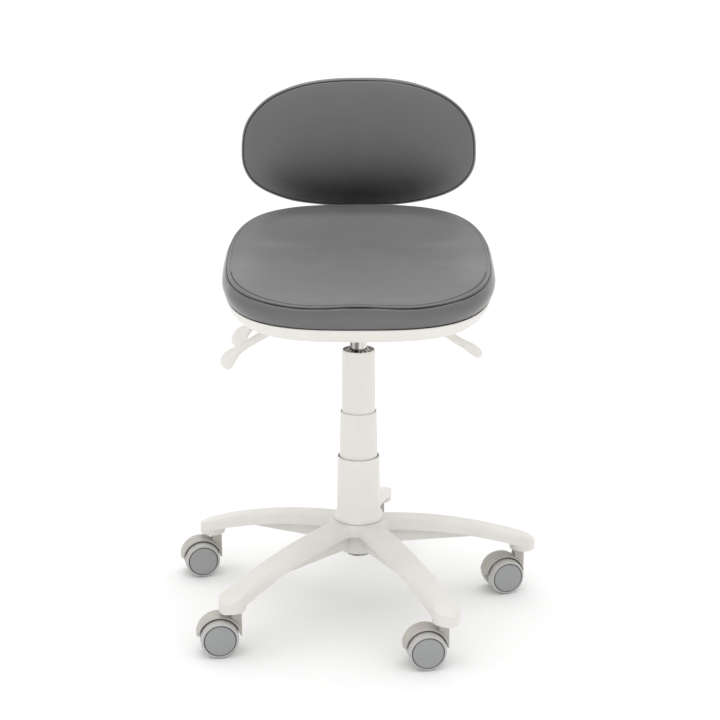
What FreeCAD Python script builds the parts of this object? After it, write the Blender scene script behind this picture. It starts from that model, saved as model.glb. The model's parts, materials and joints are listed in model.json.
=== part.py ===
import FreeCAD, Part
import math
import os
import Sketcher

# A dentist's stool: a five-armed base on twin-wheel casters, a gas lift inside a three-stage
# telescopic cover, a tilt mechanism with three hand levers, an upholstered seat on a moulded pan,
# and a backrest that slides on a flat bar. Millimetres. +Z is up, -Y is the front of the seat, and
# the origin is on the floor under the gas lift. Angles in the sheet are in degrees.

SIZES = {
    # base
    "arm_count": 5, "arm_phase": 10.2, "arm_reach": 284, "stem_reach": 277, "arm_half_width": 21.5,
    "arm_depth": 18, "arm_skin": 3.5, "arm_wall": 3, "dome_sphere": 830, "dome_top": 148,
    "arm_corner_round": 15, "arm_edge_round": 8, "boss_radius": 21.5, "boss_foot": 71, "web_half_gap": 8,
    "web_wall": 3, "web_foot": 102.5, "web_reach": 205, "hub_radius": 32, "hub_foot": 93,
    # gas lift
    "column_radius": 25, "column_wall": 2, "column_foot": 84, "column_top": 278, "column_end_radius": 21.5,
    "column_seat_radius": 23.6, "bush_length": 70, "cylinder_radius": 14, "cylinder_wall": 2,
    "cylinder_foot": 222, "cylinder_top": 484, "taper_length": 28, "taper_end_radius": 13.2,
    "rod_radius": 5, "rod_foot": 78, "rod_top": 262, "piston_height": 10, "guide_height": 13,
    "race_height": 2, "race_radius": 14, "ball_radius": 2, "ball_circle": 9.5, "ball_count": 8,
    "buffer_height": 7, "buffer_radius": 11, "button_radius": 3.4, "button_rise": 3, "button_length": 30,
    # telescopic cover
    "cover_foot": 147.2, "flare_radius": 40.8, "flare_height": 16, "lower_foot_radius": 35.8,
    "lower_top_radius": 34.7, "lower_top": 256.4, "middle_foot_radius": 31.8, "middle_top_radius": 29.7,
    "middle_top": 333.6, "middle_length": 110, "upper_foot_radius": 27.6, "upper_top_radius": 26.5,
    "upper_top": 437.7, "upper_length": 120, "cover_wall": 1.2, "collar_height": 4, "collar_drop": 2.5,
    "collar_fingers": 14,
    # casters
    "wheel_radius": 30, "wheel_width": 22, "wheel_gap": 12, "tread_round": 5, "cap_radius": 24.6,
    "cap_thick": 3, "axle_radius": 3, "caster_trail": 28, "post_radius": 8.2, "post_top": 69.5,
    "fender_clearance": 2.5, "fender_thick": 2.5, "stem_radius": 5.5, "stem_rise": 18, "stem_sink": 24,
    "caster_aim_1": 17, "caster_aim_2": 12, "caster_aim_3": 14, "caster_aim_4": 10, "caster_aim_5": 8,
    # mechanism
    "housing_half_width": 50, "housing_front": -75, "housing_rear": 122, "housing_nose": 474,
    "housing_foot": 460, "housing_top": 503, "housing_wall": 2.5, "socket_radius": 19,
    "socket_foot": 455, "pivot_y": -62, "pivot_z": 495, "pivot_radius": 5, "back_pivot_y": 108,
    "back_pivot_z": 487, "clamp_y": 34, "clamp_z": 495, "back_clamp_y": 66, "clamp_radius": 4,
    "clamp_plate_radius": 9, "quadrant_x": 20, "quadrant_thick": 4, "lug_x": 14, "lug_thick": 5,
    "clamp_arm_x": 22, "clamp_arm_thick": 6,
    # levers
    "height_lever_y": 0, "tilt_lever_y": -10, "recline_lever_y": 88, "lever_pin_x": 38,
    "lever_pin_radius": 3, "bar_foot": 487.2, "bar_depth": 7, "bar_half": 5, "lever_inner_x": 20,
    "lever_thick": 7, "lever_neck_half": 9, "lever_blade_half": 17, "height_lever_reach": 196,
    "tilt_lever_reach": 221, "recline_lever_reach": 209, "height_lever_tip": 421,
    "tilt_lever_tip": 409, "recline_lever_tip": 415, "lever_shoulder_z": 470,
    "height_lever_shoulder": 134, "tilt_lever_shoulder": 142, "recline_lever_shoulder": 140,
    # seat, measured from the seat pivot and square to the seat plate
    "seat_tilt": 9.1, "plate_height": 22, "plate_thick": 4, "plate_half_width": 100,
    "plate_front": -20, "plate_rear": 175, "pan_depth": 21.5, "pan_wall": 3, "pan_inset": 34,
    "board_thick": 12, "board_inset": 20, "seat_half_width": 218, "seat_widest_y": 95,
    "seat_front_reach": 229, "seat_rear_reach": 185, "seat_front_power": 3, "seat_rear_power": 2.7,
    "seat_side": 29, "crown_rise": 11, "rear_rise": 25,
    "bolt_radius": 4, "bolt_span_x": 150, "bolt_span_y": 110,
    # backrest, measured along its own lean
    "back_lean": 5, "back_front_y": 256, "back_middle_z": 736, "back_half_width": 204.5,
    "back_widest_z": -14, "back_top_reach": 124.5, "back_low_reach": 95, "back_top_power": 2.4,
    "back_low_power": 2.65, "back_pad_thick": 40, "back_board_thick": 10, "back_shell_thick": 17,
    "bar_width": 50, "bar_thick": 7, "bar_bend": 38, "bar_top": 795, "bar_stand": 66,
    "carriage_half_width": 38, "carriage_height": 70, "carriage_drop": 46, "carriage_thick": 23,
    "knob_radius": 22, "knob_depth": 20, "knob_lobes": 6, "screw_radius": 2.5,
    # clearances
    "fit_gap": 0.05, "running_gap": 0.08, "free_gap": 0.5, "soft_gap": 0.3,
}

doc = FreeCAD.newDocument("dentist_stool")
sheet = doc.addObject("Spreadsheet::Sheet", "sizes")
for row, (alias, number) in enumerate(SIZES.items(), 1):
    sheet.set(f"A{row}", alias)
    sheet.set(f"B{row}", str(number))
    sheet.setAlias(f"B{row}", alias)
doc.recompute()


class Size:
    """A length held both as a number and as the sheet formula that gives it."""

    def __init__(self, value, formula):
        self.value, self.formula = value, formula

    def join(self, other, sign, value):
        return Size(value, f"({self.formula} {sign} {formula_of(other)})")

    def __add__(self, other):
        return self.join(other, "+", self.value + value_of(other))

    def __sub__(self, other):
        return self.join(other, "-", self.value - value_of(other))

    def __mul__(self, other):
        return self.join(other, "*", self.value * value_of(other))

    def __truediv__(self, other):
        return self.join(other, "/", self.value / value_of(other))

    def __neg__(self):
        return Size(-self.value, f"(0 - {self.formula})")

    def __radd__(self, other):
        return self + other

    def __rmul__(self, other):
        return self * other

    def __rsub__(self, other):
        return -self + other

    def __rtruediv__(self, other):
        return Size(other / self.value, f"({other!r} / {self.formula})")

    def __float__(self):
        return float(self.value)

    def __int__(self):
        return int(self.value)


def value_of(length):
    return length.value if isinstance(length, Size) else length


def formula_of(length):
    return length.formula if isinstance(length, Size) else repr(length)


class Sheet:
    """Each alias of the sheet as a Size, read by its name."""

    def __getattr__(self, alias):
        return Size(float(sheet.get(alias)), f"sizes.{alias}")


s = Sheet()
nodes = []


def bind(thing, **lengths):
    """Ties properties of a feature to sheet formulas."""
    for name, length in lengths.items():
        setattr(thing, name, value_of(length))
        if isinstance(length, Size):
            thing.setExpression(name, length.formula)
    return thing


def place(thing, x=0, y=0, z=0, axis=(0, 0, 1), angle=0):
    """Puts a feature at a point whose coordinates stay tied to the sheet."""
    point = FreeCAD.Vector(value_of(x), value_of(y), value_of(z))
    thing.Placement = FreeCAD.Placement(point, FreeCAD.Rotation(FreeCAD.Vector(*axis), value_of(angle)))
    for name, length in (("Base.x", x), ("Base.y", y), ("Base.z", z), ("Rotation.Angle", angle)):
        if isinstance(length, Size):
            thing.setExpression(f"Placement.{name}", length.formula)
    return thing


def node(thing, label):
    """Marks a feature as a finished sub-part with that name."""
    thing.Label = label
    nodes.append((label, thing))
    return thing


def rod(radius, length, x=0, y=0, z=0, along="z"):
    """A round bar that starts at a point and runs along an axis."""
    turn = {"x": ((0, 1, 0), 90), "y": ((1, 0, 0), -90), "z": ((0, 0, 1), 0)}[along]
    bar = bind(doc.addObject("Part::Cylinder", "rod"), Radius=radius, Height=length)
    return place(bar, x, y, z, *turn)


def block(x0, x1, y0, y1, z0, z1):
    """A box between two corners."""
    box = bind(doc.addObject("Part::Box", "block"), Length=x1 - x0, Width=y1 - y0, Height=z1 - z0)
    return place(box, x0, y0, z0)


def ball(radius, x=0, y=0, z=0):
    return place(bind(doc.addObject("Part::Sphere", "ball"), Radius=radius), x, y, z)


def fuse(*shapes):
    joined = doc.addObject("Part::MultiFuse", "fuse")
    joined.Shapes = list(shapes)
    joined.Refine = True
    return joined


def group(*shapes):
    """Several separate solids kept as one node."""
    gathered = doc.addObject("Part::Compound", "group")
    gathered.Links = list(shapes)
    return gathered


def cut(base, *tools):
    for tool in tools:
        removed = doc.addObject("Part::Cut", "cut")
        removed.Base, removed.Tool = base, tool
        base = removed
    return base


def common(*shapes):
    shared = doc.addObject("Part::MultiCommon", "common")
    shared.Shapes = list(shapes)
    return shared


def own_shape(shape, name="shape"):
    """A feature whose shape is worked out from the sheet here."""
    thing = doc.addObject("Part::Feature", name)
    thing.Shape = shape
    return thing


def sketch_on(body, role):
    """A sketch on one of a body's own origin planes."""
    plane = next(o for o in body.Origin.OriginFeatures if o.Role == role)
    sketch = body.newObject("Sketcher::SketchObject", "profile")
    sketch.AttachmentSupport = (plane, "")
    sketch.MapMode = "FlatFace"
    return sketch


def draw(sketch, outline):
    """A closed outline of straight lines whose corners are tied to the sheet."""
    corners = [FreeCAD.Vector(value_of(a), value_of(b), 0) for a, b in outline]
    count = len(corners)
    for i in range(count):
        sketch.addGeometry(Part.LineSegment(corners[i], corners[(i + 1) % count]))
    for i in range(count):
        sketch.addConstraint(Sketcher.Constraint("Coincident", i, 2, (i + 1) % count, 1))
    for i, (a, b) in enumerate(outline):
        for kind, length, line in (("DistanceX", a, -2), ("DistanceY", b, -1)):
            if value_of(length) == 0:
                sketch.addConstraint(Sketcher.Constraint("PointOnObject", i, 1, line))
                continue
            made = sketch.addConstraint(Sketcher.Constraint(kind, -1, 1, i, 1, value_of(length)))
            if isinstance(length, Size):
                sketch.setExpression(f"Constraints[{made}]", length.formula)


def turned(outline):
    """A body turned about Z from an outline of (radius, height) corners."""
    body = doc.addObject("PartDesign::Body", "turned")
    sketch = sketch_on(body, "XZ_Plane")
    draw(sketch, outline)
    revolution = body.newObject("PartDesign::Revolution", "revolution")
    revolution.Profile = sketch
    revolution.ReferenceAxis = (sketch, ["V_Axis"])
    revolution.Angle = 360
    body.Tip = revolution
    return body


def padded(outline, length, role="YZ_Plane", middle=True):
    """A body padded from an outline on an origin plane."""
    body = doc.addObject("PartDesign::Body", "padded")
    sketch = sketch_on(body, role)
    draw(sketch, outline)
    pad = bind(body.newObject("PartDesign::Pad", "pad"), Length=length)
    pad.Profile = sketch
    pad.Midplane = middle
    body.Tip = pad
    return body


def tube(inner, outer, z0, z1):
    return turned([(inner, z0), (outer, z0), (outer, z1), (inner, z1)])


def rounded(thing, radius, wanted):
    """Fillets the edges for which wanted(edge) holds."""
    doc.recompute()
    edges = [i for i, edge in enumerate(thing.Shape.Edges, 1) if wanted(edge)]
    fillet = doc.addObject("Part::Fillet", "fillet")
    fillet.Base = thing
    fillet.Edges = [(i, value_of(radius), value_of(radius)) for i in edges]
    return fillet


def polar(x, y, degrees):
    """A point turned about Z, as numbers."""
    turn = math.radians(degrees)
    return x * math.cos(turn) - y * math.sin(turn), x * math.sin(turn) + y * math.cos(turn)


def arm_angle(number):
    return s.arm_phase + number * 360 / s.arm_count



def star(half_width, boss, z0, z1):
    """Five arms and their round ends as one upright prism, with rounded inner corners."""
    pieces = []
    for number in range(int(s.arm_count)):
        angle = arm_angle(number)
        arm = bind(doc.addObject("Part::Box", "arm"), Length=s.arm_reach, Width=half_width * 2,
                   Height=z1 - z0)
        turn = math.radians(angle.value)
        x, y = half_width.value * math.sin(turn), -half_width.value * math.cos(turn)
        place(arm, x, y, z0, angle=angle)
        tip_x, tip_y = polar(s.arm_reach.value, 0, angle.value)
        pieces += [arm, rod(boss, z1 - z0, tip_x, tip_y, z0)]
    prism = fuse(*pieces)
    corner = half_width.value / math.sin(math.pi / s.arm_count.value)

    def inner_corner(edge):
        middle = edge.CenterOfMass
        upright = edge.BoundBox.ZLength > value_of(z1 - z0) * 0.99
        return upright and abs(math.hypot(middle.x, middle.y) - corner) < 0.5

    return rounded(prism, s.arm_corner_round + s.arm_half_width - half_width, inner_corner)


def star_base():
    low, high = s.boss_foot - 10, s.dome_top + 10
    centre_z = s.dome_top - s.dome_sphere
    skin = cut(common(star(s.arm_half_width, s.boss_radius, low, high), ball(s.dome_sphere, z=centre_z)),
               ball(s.dome_sphere - s.arm_depth, z=centre_z))

    def top_edge(edge):
        if edge.Degenerated:
            return False
        top = FreeCAD.Vector(0, 0, centre_z.value)
        span = edge.LastParameter - edge.FirstParameter
        points = [edge.valueAt(edge.FirstParameter + span * share) for share in (0, 0.3, 0.7, 1)]
        return all(abs(point.sub(top).Length - s.dome_sphere.value) < 0.01 for point in points)

    skin = rounded(skin, s.arm_edge_round, top_edge)
    hollow = common(star(s.arm_half_width - s.arm_wall, s.boss_radius - s.arm_wall, low, high),
                    ball(s.dome_sphere - s.arm_skin, z=centre_z))
    shell = cut(skin, hollow)
    ceiling = ball(s.dome_sphere - s.arm_skin / 2, z=centre_z)
    ribs = []
    for number in range(int(s.arm_count)):
        angle = arm_angle(number)
        for side in (-1, 1):
            offset = side * s.web_half_gap.value - s.web_wall.value / 2
            rib = bind(doc.addObject("Part::Box", "rib"), Length=s.web_reach, Width=s.web_wall,
                       Height=s.dome_top - s.web_foot)
            x, y = polar(0, offset, angle.value)
            ribs.append(place(rib, x, y, s.web_foot, angle=angle))
        for share in (0.35, 0.55, 0.75):
            brace = bind(doc.addObject("Part::Box", "brace"), Length=s.web_wall,
                         Width=s.arm_half_width * 2 - s.arm_wall, Height=s.arm_depth)
            reach = s.arm_reach.value * share
            x, y = polar(reach, -s.arm_half_width.value + s.arm_wall.value / 2, angle.value)
            foot = math.sqrt((s.dome_sphere.value - s.arm_depth.value) ** 2 - reach ** 2) + centre_z.value
            ribs.append(place(brace, x, y, foot, angle=angle))
        tip_x, tip_y = polar(s.arm_reach.value, 0, angle.value)
        boss = rod(s.boss_radius, s.dome_top - s.boss_foot, tip_x, tip_y, s.boss_foot)
        boss = rounded(boss, s.arm_skin, lambda edge: edge.BoundBox.ZMax < s.boss_foot.value + 1)
        ribs.append(boss)
    hub = rod(s.hub_radius, s.dome_top - s.hub_foot, z=s.hub_foot)
    solid = fuse(shell, common(fuse(hub, *ribs), ceiling))
    # the column's taper is the hub's own bore
    bore = turned([(0, s.hub_foot - 1), (s.column_seat_radius + s.fit_gap, s.hub_foot - 1),
                   (s.column_seat_radius + s.fit_gap, s.hub_foot),
                   (s.column_radius + s.fit_gap, s.cover_foot), (s.column_radius + s.fit_gap, s.dome_top + 1),
                   (0, s.dome_top + 1)])
    sockets = []
    for number in range(int(s.arm_count)):
        tip_x, tip_y = polar(s.stem_reach.value, 0, arm_angle(number).value)
        sockets.append(rod(s.stem_radius + s.fit_gap, s.stem_sink + 1, tip_x, tip_y, s.boss_foot - 1))
    return node(cut(solid, bore, *sockets), "star_base")



def column_parts():
    inner = s.column_radius - s.column_wall
    seat_inner = s.column_seat_radius - s.column_wall
    end_inner = s.column_end_radius - s.column_wall
    floor = s.column_foot + s.column_wall
    node(turned([(s.rod_radius + 1, s.column_foot), (s.column_end_radius - 3, s.column_foot),
                 (s.column_end_radius, s.column_foot + 3), (s.column_end_radius, s.hub_foot - 1),
                 (s.column_seat_radius, s.hub_foot), (s.column_radius, s.cover_foot),
                 (s.column_radius, s.column_top), (inner, s.column_top), (inner, s.cover_foot),
                 (seat_inner, s.hub_foot + 1), (end_inner, s.hub_foot), (end_inner, floor),
                 (s.rod_radius + 1, floor)]), "column_tube")
    bore = s.cylinder_radius + s.running_gap
    node(turned([(bore, s.column_top - s.bush_length), (inner - s.fit_gap, s.column_top - s.bush_length),
                 (inner - s.fit_gap, s.column_top + s.fit_gap), (s.column_radius - 0.5, s.column_top + s.fit_gap),
                 (s.column_radius - 0.5, s.column_top + 2), (bore, s.column_top + 2)]), "column_bush")
    race_bore = s.rod_radius + 0.6
    balls = []
    for number in range(int(s.ball_count)):
        x, y = polar(s.ball_circle.value, 0, 360 * number / s.ball_count.value)
        balls.append(ball(s.ball_radius, x, y, floor + s.race_height + s.ball_radius + s.fit_gap))
    lower_race = tube(race_bore, s.race_radius, floor + s.fit_gap / 2, floor + s.race_height)
    race_top = floor + s.race_height + s.ball_radius * 2 + s.fit_gap * 2
    upper_race = tube(s.rod_radius + s.fit_gap, s.race_radius, race_top, race_top + s.race_height)
    node(group(lower_race, *balls, upper_race), "thrust_bearing")
    buffer_foot = race_top + s.race_height + s.fit_gap
    node(tube(s.rod_radius + s.fit_gap, s.buffer_radius, buffer_foot, buffer_foot + s.buffer_height),
         "rubber_buffer")
    neck = s.rod_radius - 1.5
    clip_foot = s.column_foot - 2
    node(turned([(0, s.rod_foot), (s.rod_radius, s.rod_foot), (s.rod_radius, clip_foot), (neck, clip_foot),
                 (neck, s.column_foot - s.fit_gap), (s.rod_radius, s.column_foot - s.fit_gap),
                 (s.rod_radius, s.rod_top), (0, s.rod_top)]), "piston_rod")
    plate = tube(neck + s.fit_gap, s.rod_radius * 2, clip_foot + s.fit_gap, s.column_foot - s.fit_gap * 2)
    mouth = block(-neck - s.fit_gap, neck + s.fit_gap, 0, s.rod_radius * 3, clip_foot, s.column_foot)
    node(cut(plate, mouth), "retaining_clip")
    bore = s.cylinder_radius - s.cylinder_wall
    node(tube(s.rod_radius + s.fit_gap, bore - s.running_gap, s.rod_top - s.piston_height, s.rod_top), "piston")


def cylinder_parts():
    bore = s.cylinder_radius - s.cylinder_wall
    roof = s.cylinder_top - s.button_length - 4
    port = s.button_radius + s.running_gap
    node(turned([(bore, s.cylinder_foot), (s.cylinder_radius, s.cylinder_foot),
                 (s.cylinder_radius, s.cylinder_top - s.taper_length), (s.taper_end_radius, s.cylinder_top),
                 (port, s.cylinder_top), (port, roof), (bore, roof)]), "gas_cylinder")
    node(tube(s.rod_radius + s.running_gap, bore - s.fit_gap, s.cylinder_foot + 1,
              s.cylinder_foot + s.guide_height), "rod_guide")
    node(rod(s.button_radius, s.button_length, z=s.cylinder_top + s.button_rise - s.button_length),
         "release_button")


def cover_parts():
    wall = s.cover_wall
    shoulder = s.cover_foot + s.flare_height
    node(turned([(s.flare_radius - 1.5, s.cover_foot), (s.flare_radius, s.cover_foot + 1.5),
                 (s.flare_radius, s.cover_foot + s.flare_height / 2.5),
                 (s.flare_radius - 1.6, s.cover_foot + s.flare_height / 1.6),
                 (s.lower_foot_radius + 0.6, shoulder - 2), (s.lower_foot_radius, shoulder + 2),
                 (s.lower_top_radius, s.lower_top - 0.6), (s.lower_top_radius - 0.5, s.lower_top),
                 (s.lower_top_radius - wall, s.lower_top), (s.lower_foot_radius - wall, shoulder),
                 (s.flare_radius - wall * 2, s.cover_foot + s.flare_height / 2.5),
                 (s.flare_radius - wall * 2, s.cover_foot)]), "cover_lower")
    for label, foot, top, height, length in (
            ("cover_middle", s.middle_foot_radius, s.middle_top_radius, s.middle_top, s.middle_length),
            ("cover_upper", s.upper_foot_radius, s.upper_top_radius, s.upper_top, s.upper_length)):
        node(turned([(foot - wall, height - length), (foot, height - length), (top, height - 0.6),
                     (top - 0.4, height), (top - wall, height)]), label)
    roof = s.upper_top - s.collar_drop
    ring = tube(s.cylinder_radius + s.fit_gap, s.upper_top_radius - wall - s.fit_gap,
                roof - s.collar_height, roof)
    slots = []
    for number in range(int(s.collar_fingers)):
        slot = bind(doc.addObject("Part::Box", "slot"), Length=s.upper_top_radius - 11, Width=1.6,
                    Height=s.collar_height)
        turn = 360 * number / s.collar_fingers.value
        x, y = polar(s.cylinder_radius.value - 2, -0.8, turn)
        slots.append(place(slot, x, y, roof - s.collar_height / 2, angle=turn))
    node(cut(ring, fuse(*slots)), "cover_collar")



def caster(number):
    """One caster: trail along its own +X is turned to its aim, and its stem is at the arm's end."""
    stem_x, stem_y = polar(s.stem_reach.value, 0, arm_angle(number).value)
    aim = getattr(s, f"caster_aim_{number + 1}") + 180
    name = number + 1
    trail, radius = s.caster_trail, s.wheel_radius
    centre = s.wheel_gap / 2

    def put(thing, label):
        place(thing, stem_x, stem_y, 0, angle=aim)
        return node(thing, f"{label}_{name}")

    # a fender between the wheels, a round post under the stem and a web down to the axle
    half = s.wheel_gap / 2 - s.fender_clearance / 2
    disc = rod(radius - 4, half * 2, trail, -half, radius, "y")
    post = rod(s.post_radius, s.post_top - radius + 6, z=radius - 6)
    web = block(0, trail, -half, half, radius - 4, radius + 22)
    fender_half = s.wheel_gap / 2 + s.wheel_width * 0.45
    fender = cut(rod(radius + s.fender_clearance + s.fender_thick, fender_half * 2, trail, -fender_half,
                     radius, "y"),
                 rod(radius + s.fender_clearance, fender_half * 2 + 2, trail, -fender_half - 1, radius, "y"),
                 block(trail - radius * 2, trail + radius * 2, -40, 40, -radius, radius + 1.5))
    wheel_room = []
    for side in (-1, 1):
        low = centre - s.running_gap if side > 0 else -centre - s.wheel_width - 6
        wheel_room.append(rod(radius + s.fender_clearance, s.wheel_width + 6, trail, low, radius, "y"))
    bores = (rod(s.stem_radius + s.running_gap, s.stem_rise + 1, z=s.post_top - s.stem_rise),
             rod(s.axle_radius + s.fit_gap / 5, 60, trail, -30, radius, "y"))
    moulding = cut(fuse(disc, cut(fuse(post, web, fender), *wheel_room)), *bores)
    axle_half = centre + s.wheel_width * 0.75
    axle = rod(s.axle_radius, axle_half * 2, trail, -axle_half, radius, "y")
    put(group(moulding, axle), "caster_frame")
    for side, label in ((1, "wheel_a"), (-1, "wheel_b")):
        put(group(*wheel(side)), label)


def wheel(side):
    """A wheel and its cap, made about its own axle and then stood on the floor."""
    inner, outer = s.wheel_gap / 2 + 0.3, s.wheel_gap / 2 + s.wheel_width
    rounding = s.tread_round
    bore = s.axle_radius + s.running_gap
    tread = turned([(bore, inner), (s.wheel_radius - 2, inner), (s.wheel_radius, inner + 2),
                    (s.wheel_radius, outer - rounding), (s.wheel_radius - rounding / 3, outer - rounding / 3),
                    (s.wheel_radius - rounding, outer), (s.cap_radius + 0.2, outer),
                    (s.cap_radius + 0.2, outer - s.cap_thick), (bore, outer - s.cap_thick)])
    cap = turned([(0, outer - s.cap_thick + s.fit_gap), (s.cap_radius, outer - s.cap_thick + s.fit_gap),
                  (s.cap_radius, outer - 0.8), (s.cap_radius - 1, outer), (0, outer + 0.4)])
    for piece in (tread, cap):
        place(piece, s.caster_trail, 0, s.wheel_radius, axis=(1, 0, 0), angle=-90 * side)
    return tread, cap


def caster_stems():
    """The five steel stems that the base's sockets hold, each with its grip ring."""
    stems = []
    for number in range(int(s.arm_count)):
        x, y = polar(s.stem_reach.value, 0, arm_angle(number).value)
        foot = s.post_top - s.stem_rise + 0.5
        stems.append(rod(s.stem_radius, s.boss_foot + s.stem_sink - 1 - foot, x, y, foot))
    node(group(*stems), "caster_stems")


LEVER_SIDES = (("height", 1), ("tilt", -1), ("recline", -1))


def lever_size(kind, what):
    return getattr(s, f"{kind}_lever_{what}")


def pin_height():
    return s.bar_foot + s.bar_depth / 2


def mechanism_housing():
    """An open-topped steel channel that narrows at the nose, with the taper socket of the gas lift."""
    half, wall, front, rear = s.housing_half_width, s.housing_wall, s.housing_front, s.housing_rear
    knee = front + 45
    outer = padded([(front, s.housing_top), (front, s.housing_nose), (knee, s.housing_foot),
                    (rear, s.housing_foot), (rear, s.housing_top)], half * 2)
    inner = padded([(front + wall, s.housing_top + 1), (front + wall, s.housing_nose + wall),
                    (knee, s.housing_foot + wall), (rear + 1, s.housing_foot + wall),
                    (rear + 1, s.housing_top + 1)], (half - wall) * 2)
    socket = rod(s.socket_radius, s.cylinder_top - s.socket_foot, z=s.socket_foot)
    lugs = []
    for kind, side in LEVER_SIDES:
        middle = lever_size(kind, "y")
        for low in (middle - s.bar_half - 4, middle + s.bar_half + 1):
            x = side * s.lever_pin_x
            lugs.append(block(x - 6, x + 6, low, low + 3, s.housing_foot + wall / 2,
                              s.bar_foot + s.bar_depth + 2))
    solid = fuse(cut(outer, inner), socket, *lugs)
    gap = s.fit_gap
    taper_foot = s.cylinder_top - s.taper_length
    bore = turned([(0, s.socket_foot - 1), (s.cylinder_radius + gap, s.socket_foot - 1),
                   (s.cylinder_radius + gap, taper_foot), (s.taper_end_radius + gap, s.cylinder_top),
                   (s.taper_end_radius + gap, s.cylinder_top + 1), (0, s.cylinder_top + 1)])
    tools = [bore]
    for radius, y, z in ((s.pivot_radius, s.pivot_y, s.pivot_z),
                         (s.pivot_radius, s.back_pivot_y, s.back_pivot_z),
                         (s.clamp_radius, s.clamp_y, s.clamp_z),
                         (s.clamp_radius, s.back_clamp_y, s.back_pivot_z)):
        tools.append(rod(radius + gap, half * 2 + 2, -half - 1, y, z, "x"))
    for kind, side in LEVER_SIDES:
        middle = lever_size(kind, "y")
        x = side * half
        tools.append(block(x - wall - 1, x + wall + 1, middle - s.bar_half - 1.5, middle + s.bar_half + 1.5,
                           s.bar_foot - 3, s.bar_foot + s.bar_depth + 4))
        tools.append(rod(s.lever_pin_radius + gap, s.bar_half * 2 + 10, side * s.lever_pin_x,
                         middle - s.bar_half - 5, pin_height(), "y"))
    node(cut(solid, *tools), "mechanism_housing")


def pins():
    reach = s.housing_half_width + 8
    node(rod(s.pivot_radius, reach * 2, -reach, s.pivot_y, s.pivot_z, "x"), "seat_pivot_pin")
    reach = s.housing_half_width + 3
    node(rod(s.pivot_radius, reach * 2, -reach, s.back_pivot_y, s.back_pivot_z, "x"), "back_pivot_pin")
    lever_pins = []
    for kind, side in LEVER_SIDES:
        lever_pins.append(rod(s.lever_pin_radius, s.bar_half * 2 + 8, side * s.lever_pin_x,
                              lever_size(kind, "y") - s.bar_half - 4, pin_height(), "y"))
    node(group(*lever_pins), "lever_pins")


def lever(kind, side, inner_x):
    """A steel bar on a pin, and the moulded hand grip on its outer end."""
    middle, reach = lever_size(kind, "y"), lever_size(kind, "reach")
    shoulder, tip = lever_size(kind, "shoulder"), lever_size(kind, "tip")
    foot, depth = s.bar_foot, s.bar_depth
    neck = s.housing_half_width + 2.5
    bar_end = neck + 12

    def bar(gap, inner):
        ends = sorted((inner * side, (bar_end + gap) * side), key=value_of)
        return block(*ends, middle - s.bar_half - gap, middle + s.bar_half + gap, foot - gap,
                     foot + depth + gap)

    hole = rod(s.lever_pin_radius + s.fit_gap, s.bar_half * 2 + 2, side * s.lever_pin_x,
               middle - s.bar_half - 1, pin_height(), "y")
    node(cut(bar(0, inner_x), hole), f"{kind}_lever_bar")
    thick = s.lever_thick
    bend = shoulder - 36
    profile = [(neck, foot - 1.8), (bend, foot - 1.8), (shoulder, s.lever_shoulder_z - thick / 2),
               (reach - 3, tip), (reach, tip + 1), (reach, tip + 4),
               (shoulder + thick * 0.6, s.lever_shoulder_z + thick * 0.6), (bend + 3, foot + depth + 1.8),
               (neck, foot + depth + 1.8)]
    grip = padded([(x * side, z) for x, z in profile], s.lever_blade_half * 2 + 2, "XZ_Plane")
    place(grip, y=middle)
    blade = shoulder + (reach - shoulder) * 0.5
    half, wide = s.lever_neck_half, s.lever_blade_half
    edge = [(neck - 1, half), (shoulder, half), (blade, wide), (reach - 9, wide * 0.85), (reach - 1.5, wide * 0.5),
            (reach + 1, wide * 0.15)]
    leaf = [(x * side, y) for x, y in edge] + [(x * side, -y) for x, y in reversed(edge)]
    low = tip - 5
    plan = padded(leaf, foot + depth + 5 - low, "XY_Plane", False)
    place(plan, 0, middle, low)
    node(cut(common(grip, plan), bar(s.fit_gap, neck - 2)), f"{kind}_lever_grip")


def clamp(label, y, z, front, rear):
    """A cross rod with the rocker arm that its hand lever presses down."""
    reach = s.housing_half_width + 3
    cross = rod(s.clamp_radius, reach * 2, -reach, y, z, "x")
    top = s.bar_foot - 0.15
    arm_foot = s.bar_foot - 8
    arm = padded([(front, arm_foot), (rear, arm_foot), (rear, top), (front, top)], s.clamp_arm_thick)
    hub = rod(s.clamp_radius + 4.5, s.clamp_arm_thick, -s.clamp_arm_x - s.clamp_arm_thick, y, z, "x")
    place(arm, -s.clamp_arm_x - s.clamp_arm_thick / 2)
    node(fuse(cross, arm, hub), label)


def clamp_plates():
    """Four friction washers, two on each cross rod, beside the slotted plates."""
    washers = []
    thick = 2.6
    for x, y, z in ((s.quadrant_x - thick - 0.2, s.clamp_y, s.clamp_z),
                    (s.quadrant_x + s.quadrant_thick + 0.2, s.clamp_y, s.clamp_z),
                    (s.lug_x - thick - 0.2, s.back_clamp_y, s.back_pivot_z),
                    (s.lug_x + s.lug_thick + 0.2, s.back_clamp_y, s.back_pivot_z)):
        disc = rod(s.clamp_plate_radius, thick, x, y, z, "x")
        washers.append(cut(disc, rod(s.clamp_radius + s.fit_gap, thick + 2, x - 1, y, z, "x")))
    node(group(*washers), "clamp_plates")



def on_seat(thing, label=None):
    place(thing, 0, s.pivot_y, s.pivot_z, (1, 0, 0), s.seat_tilt)
    return node(thing, label) if label else thing


def closed_curve(points):
    curve = Part.BSplineCurve()
    curve.interpolate(points, PeriodicFlag=True)
    return Part.Wire([curve.toShape()])


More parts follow.
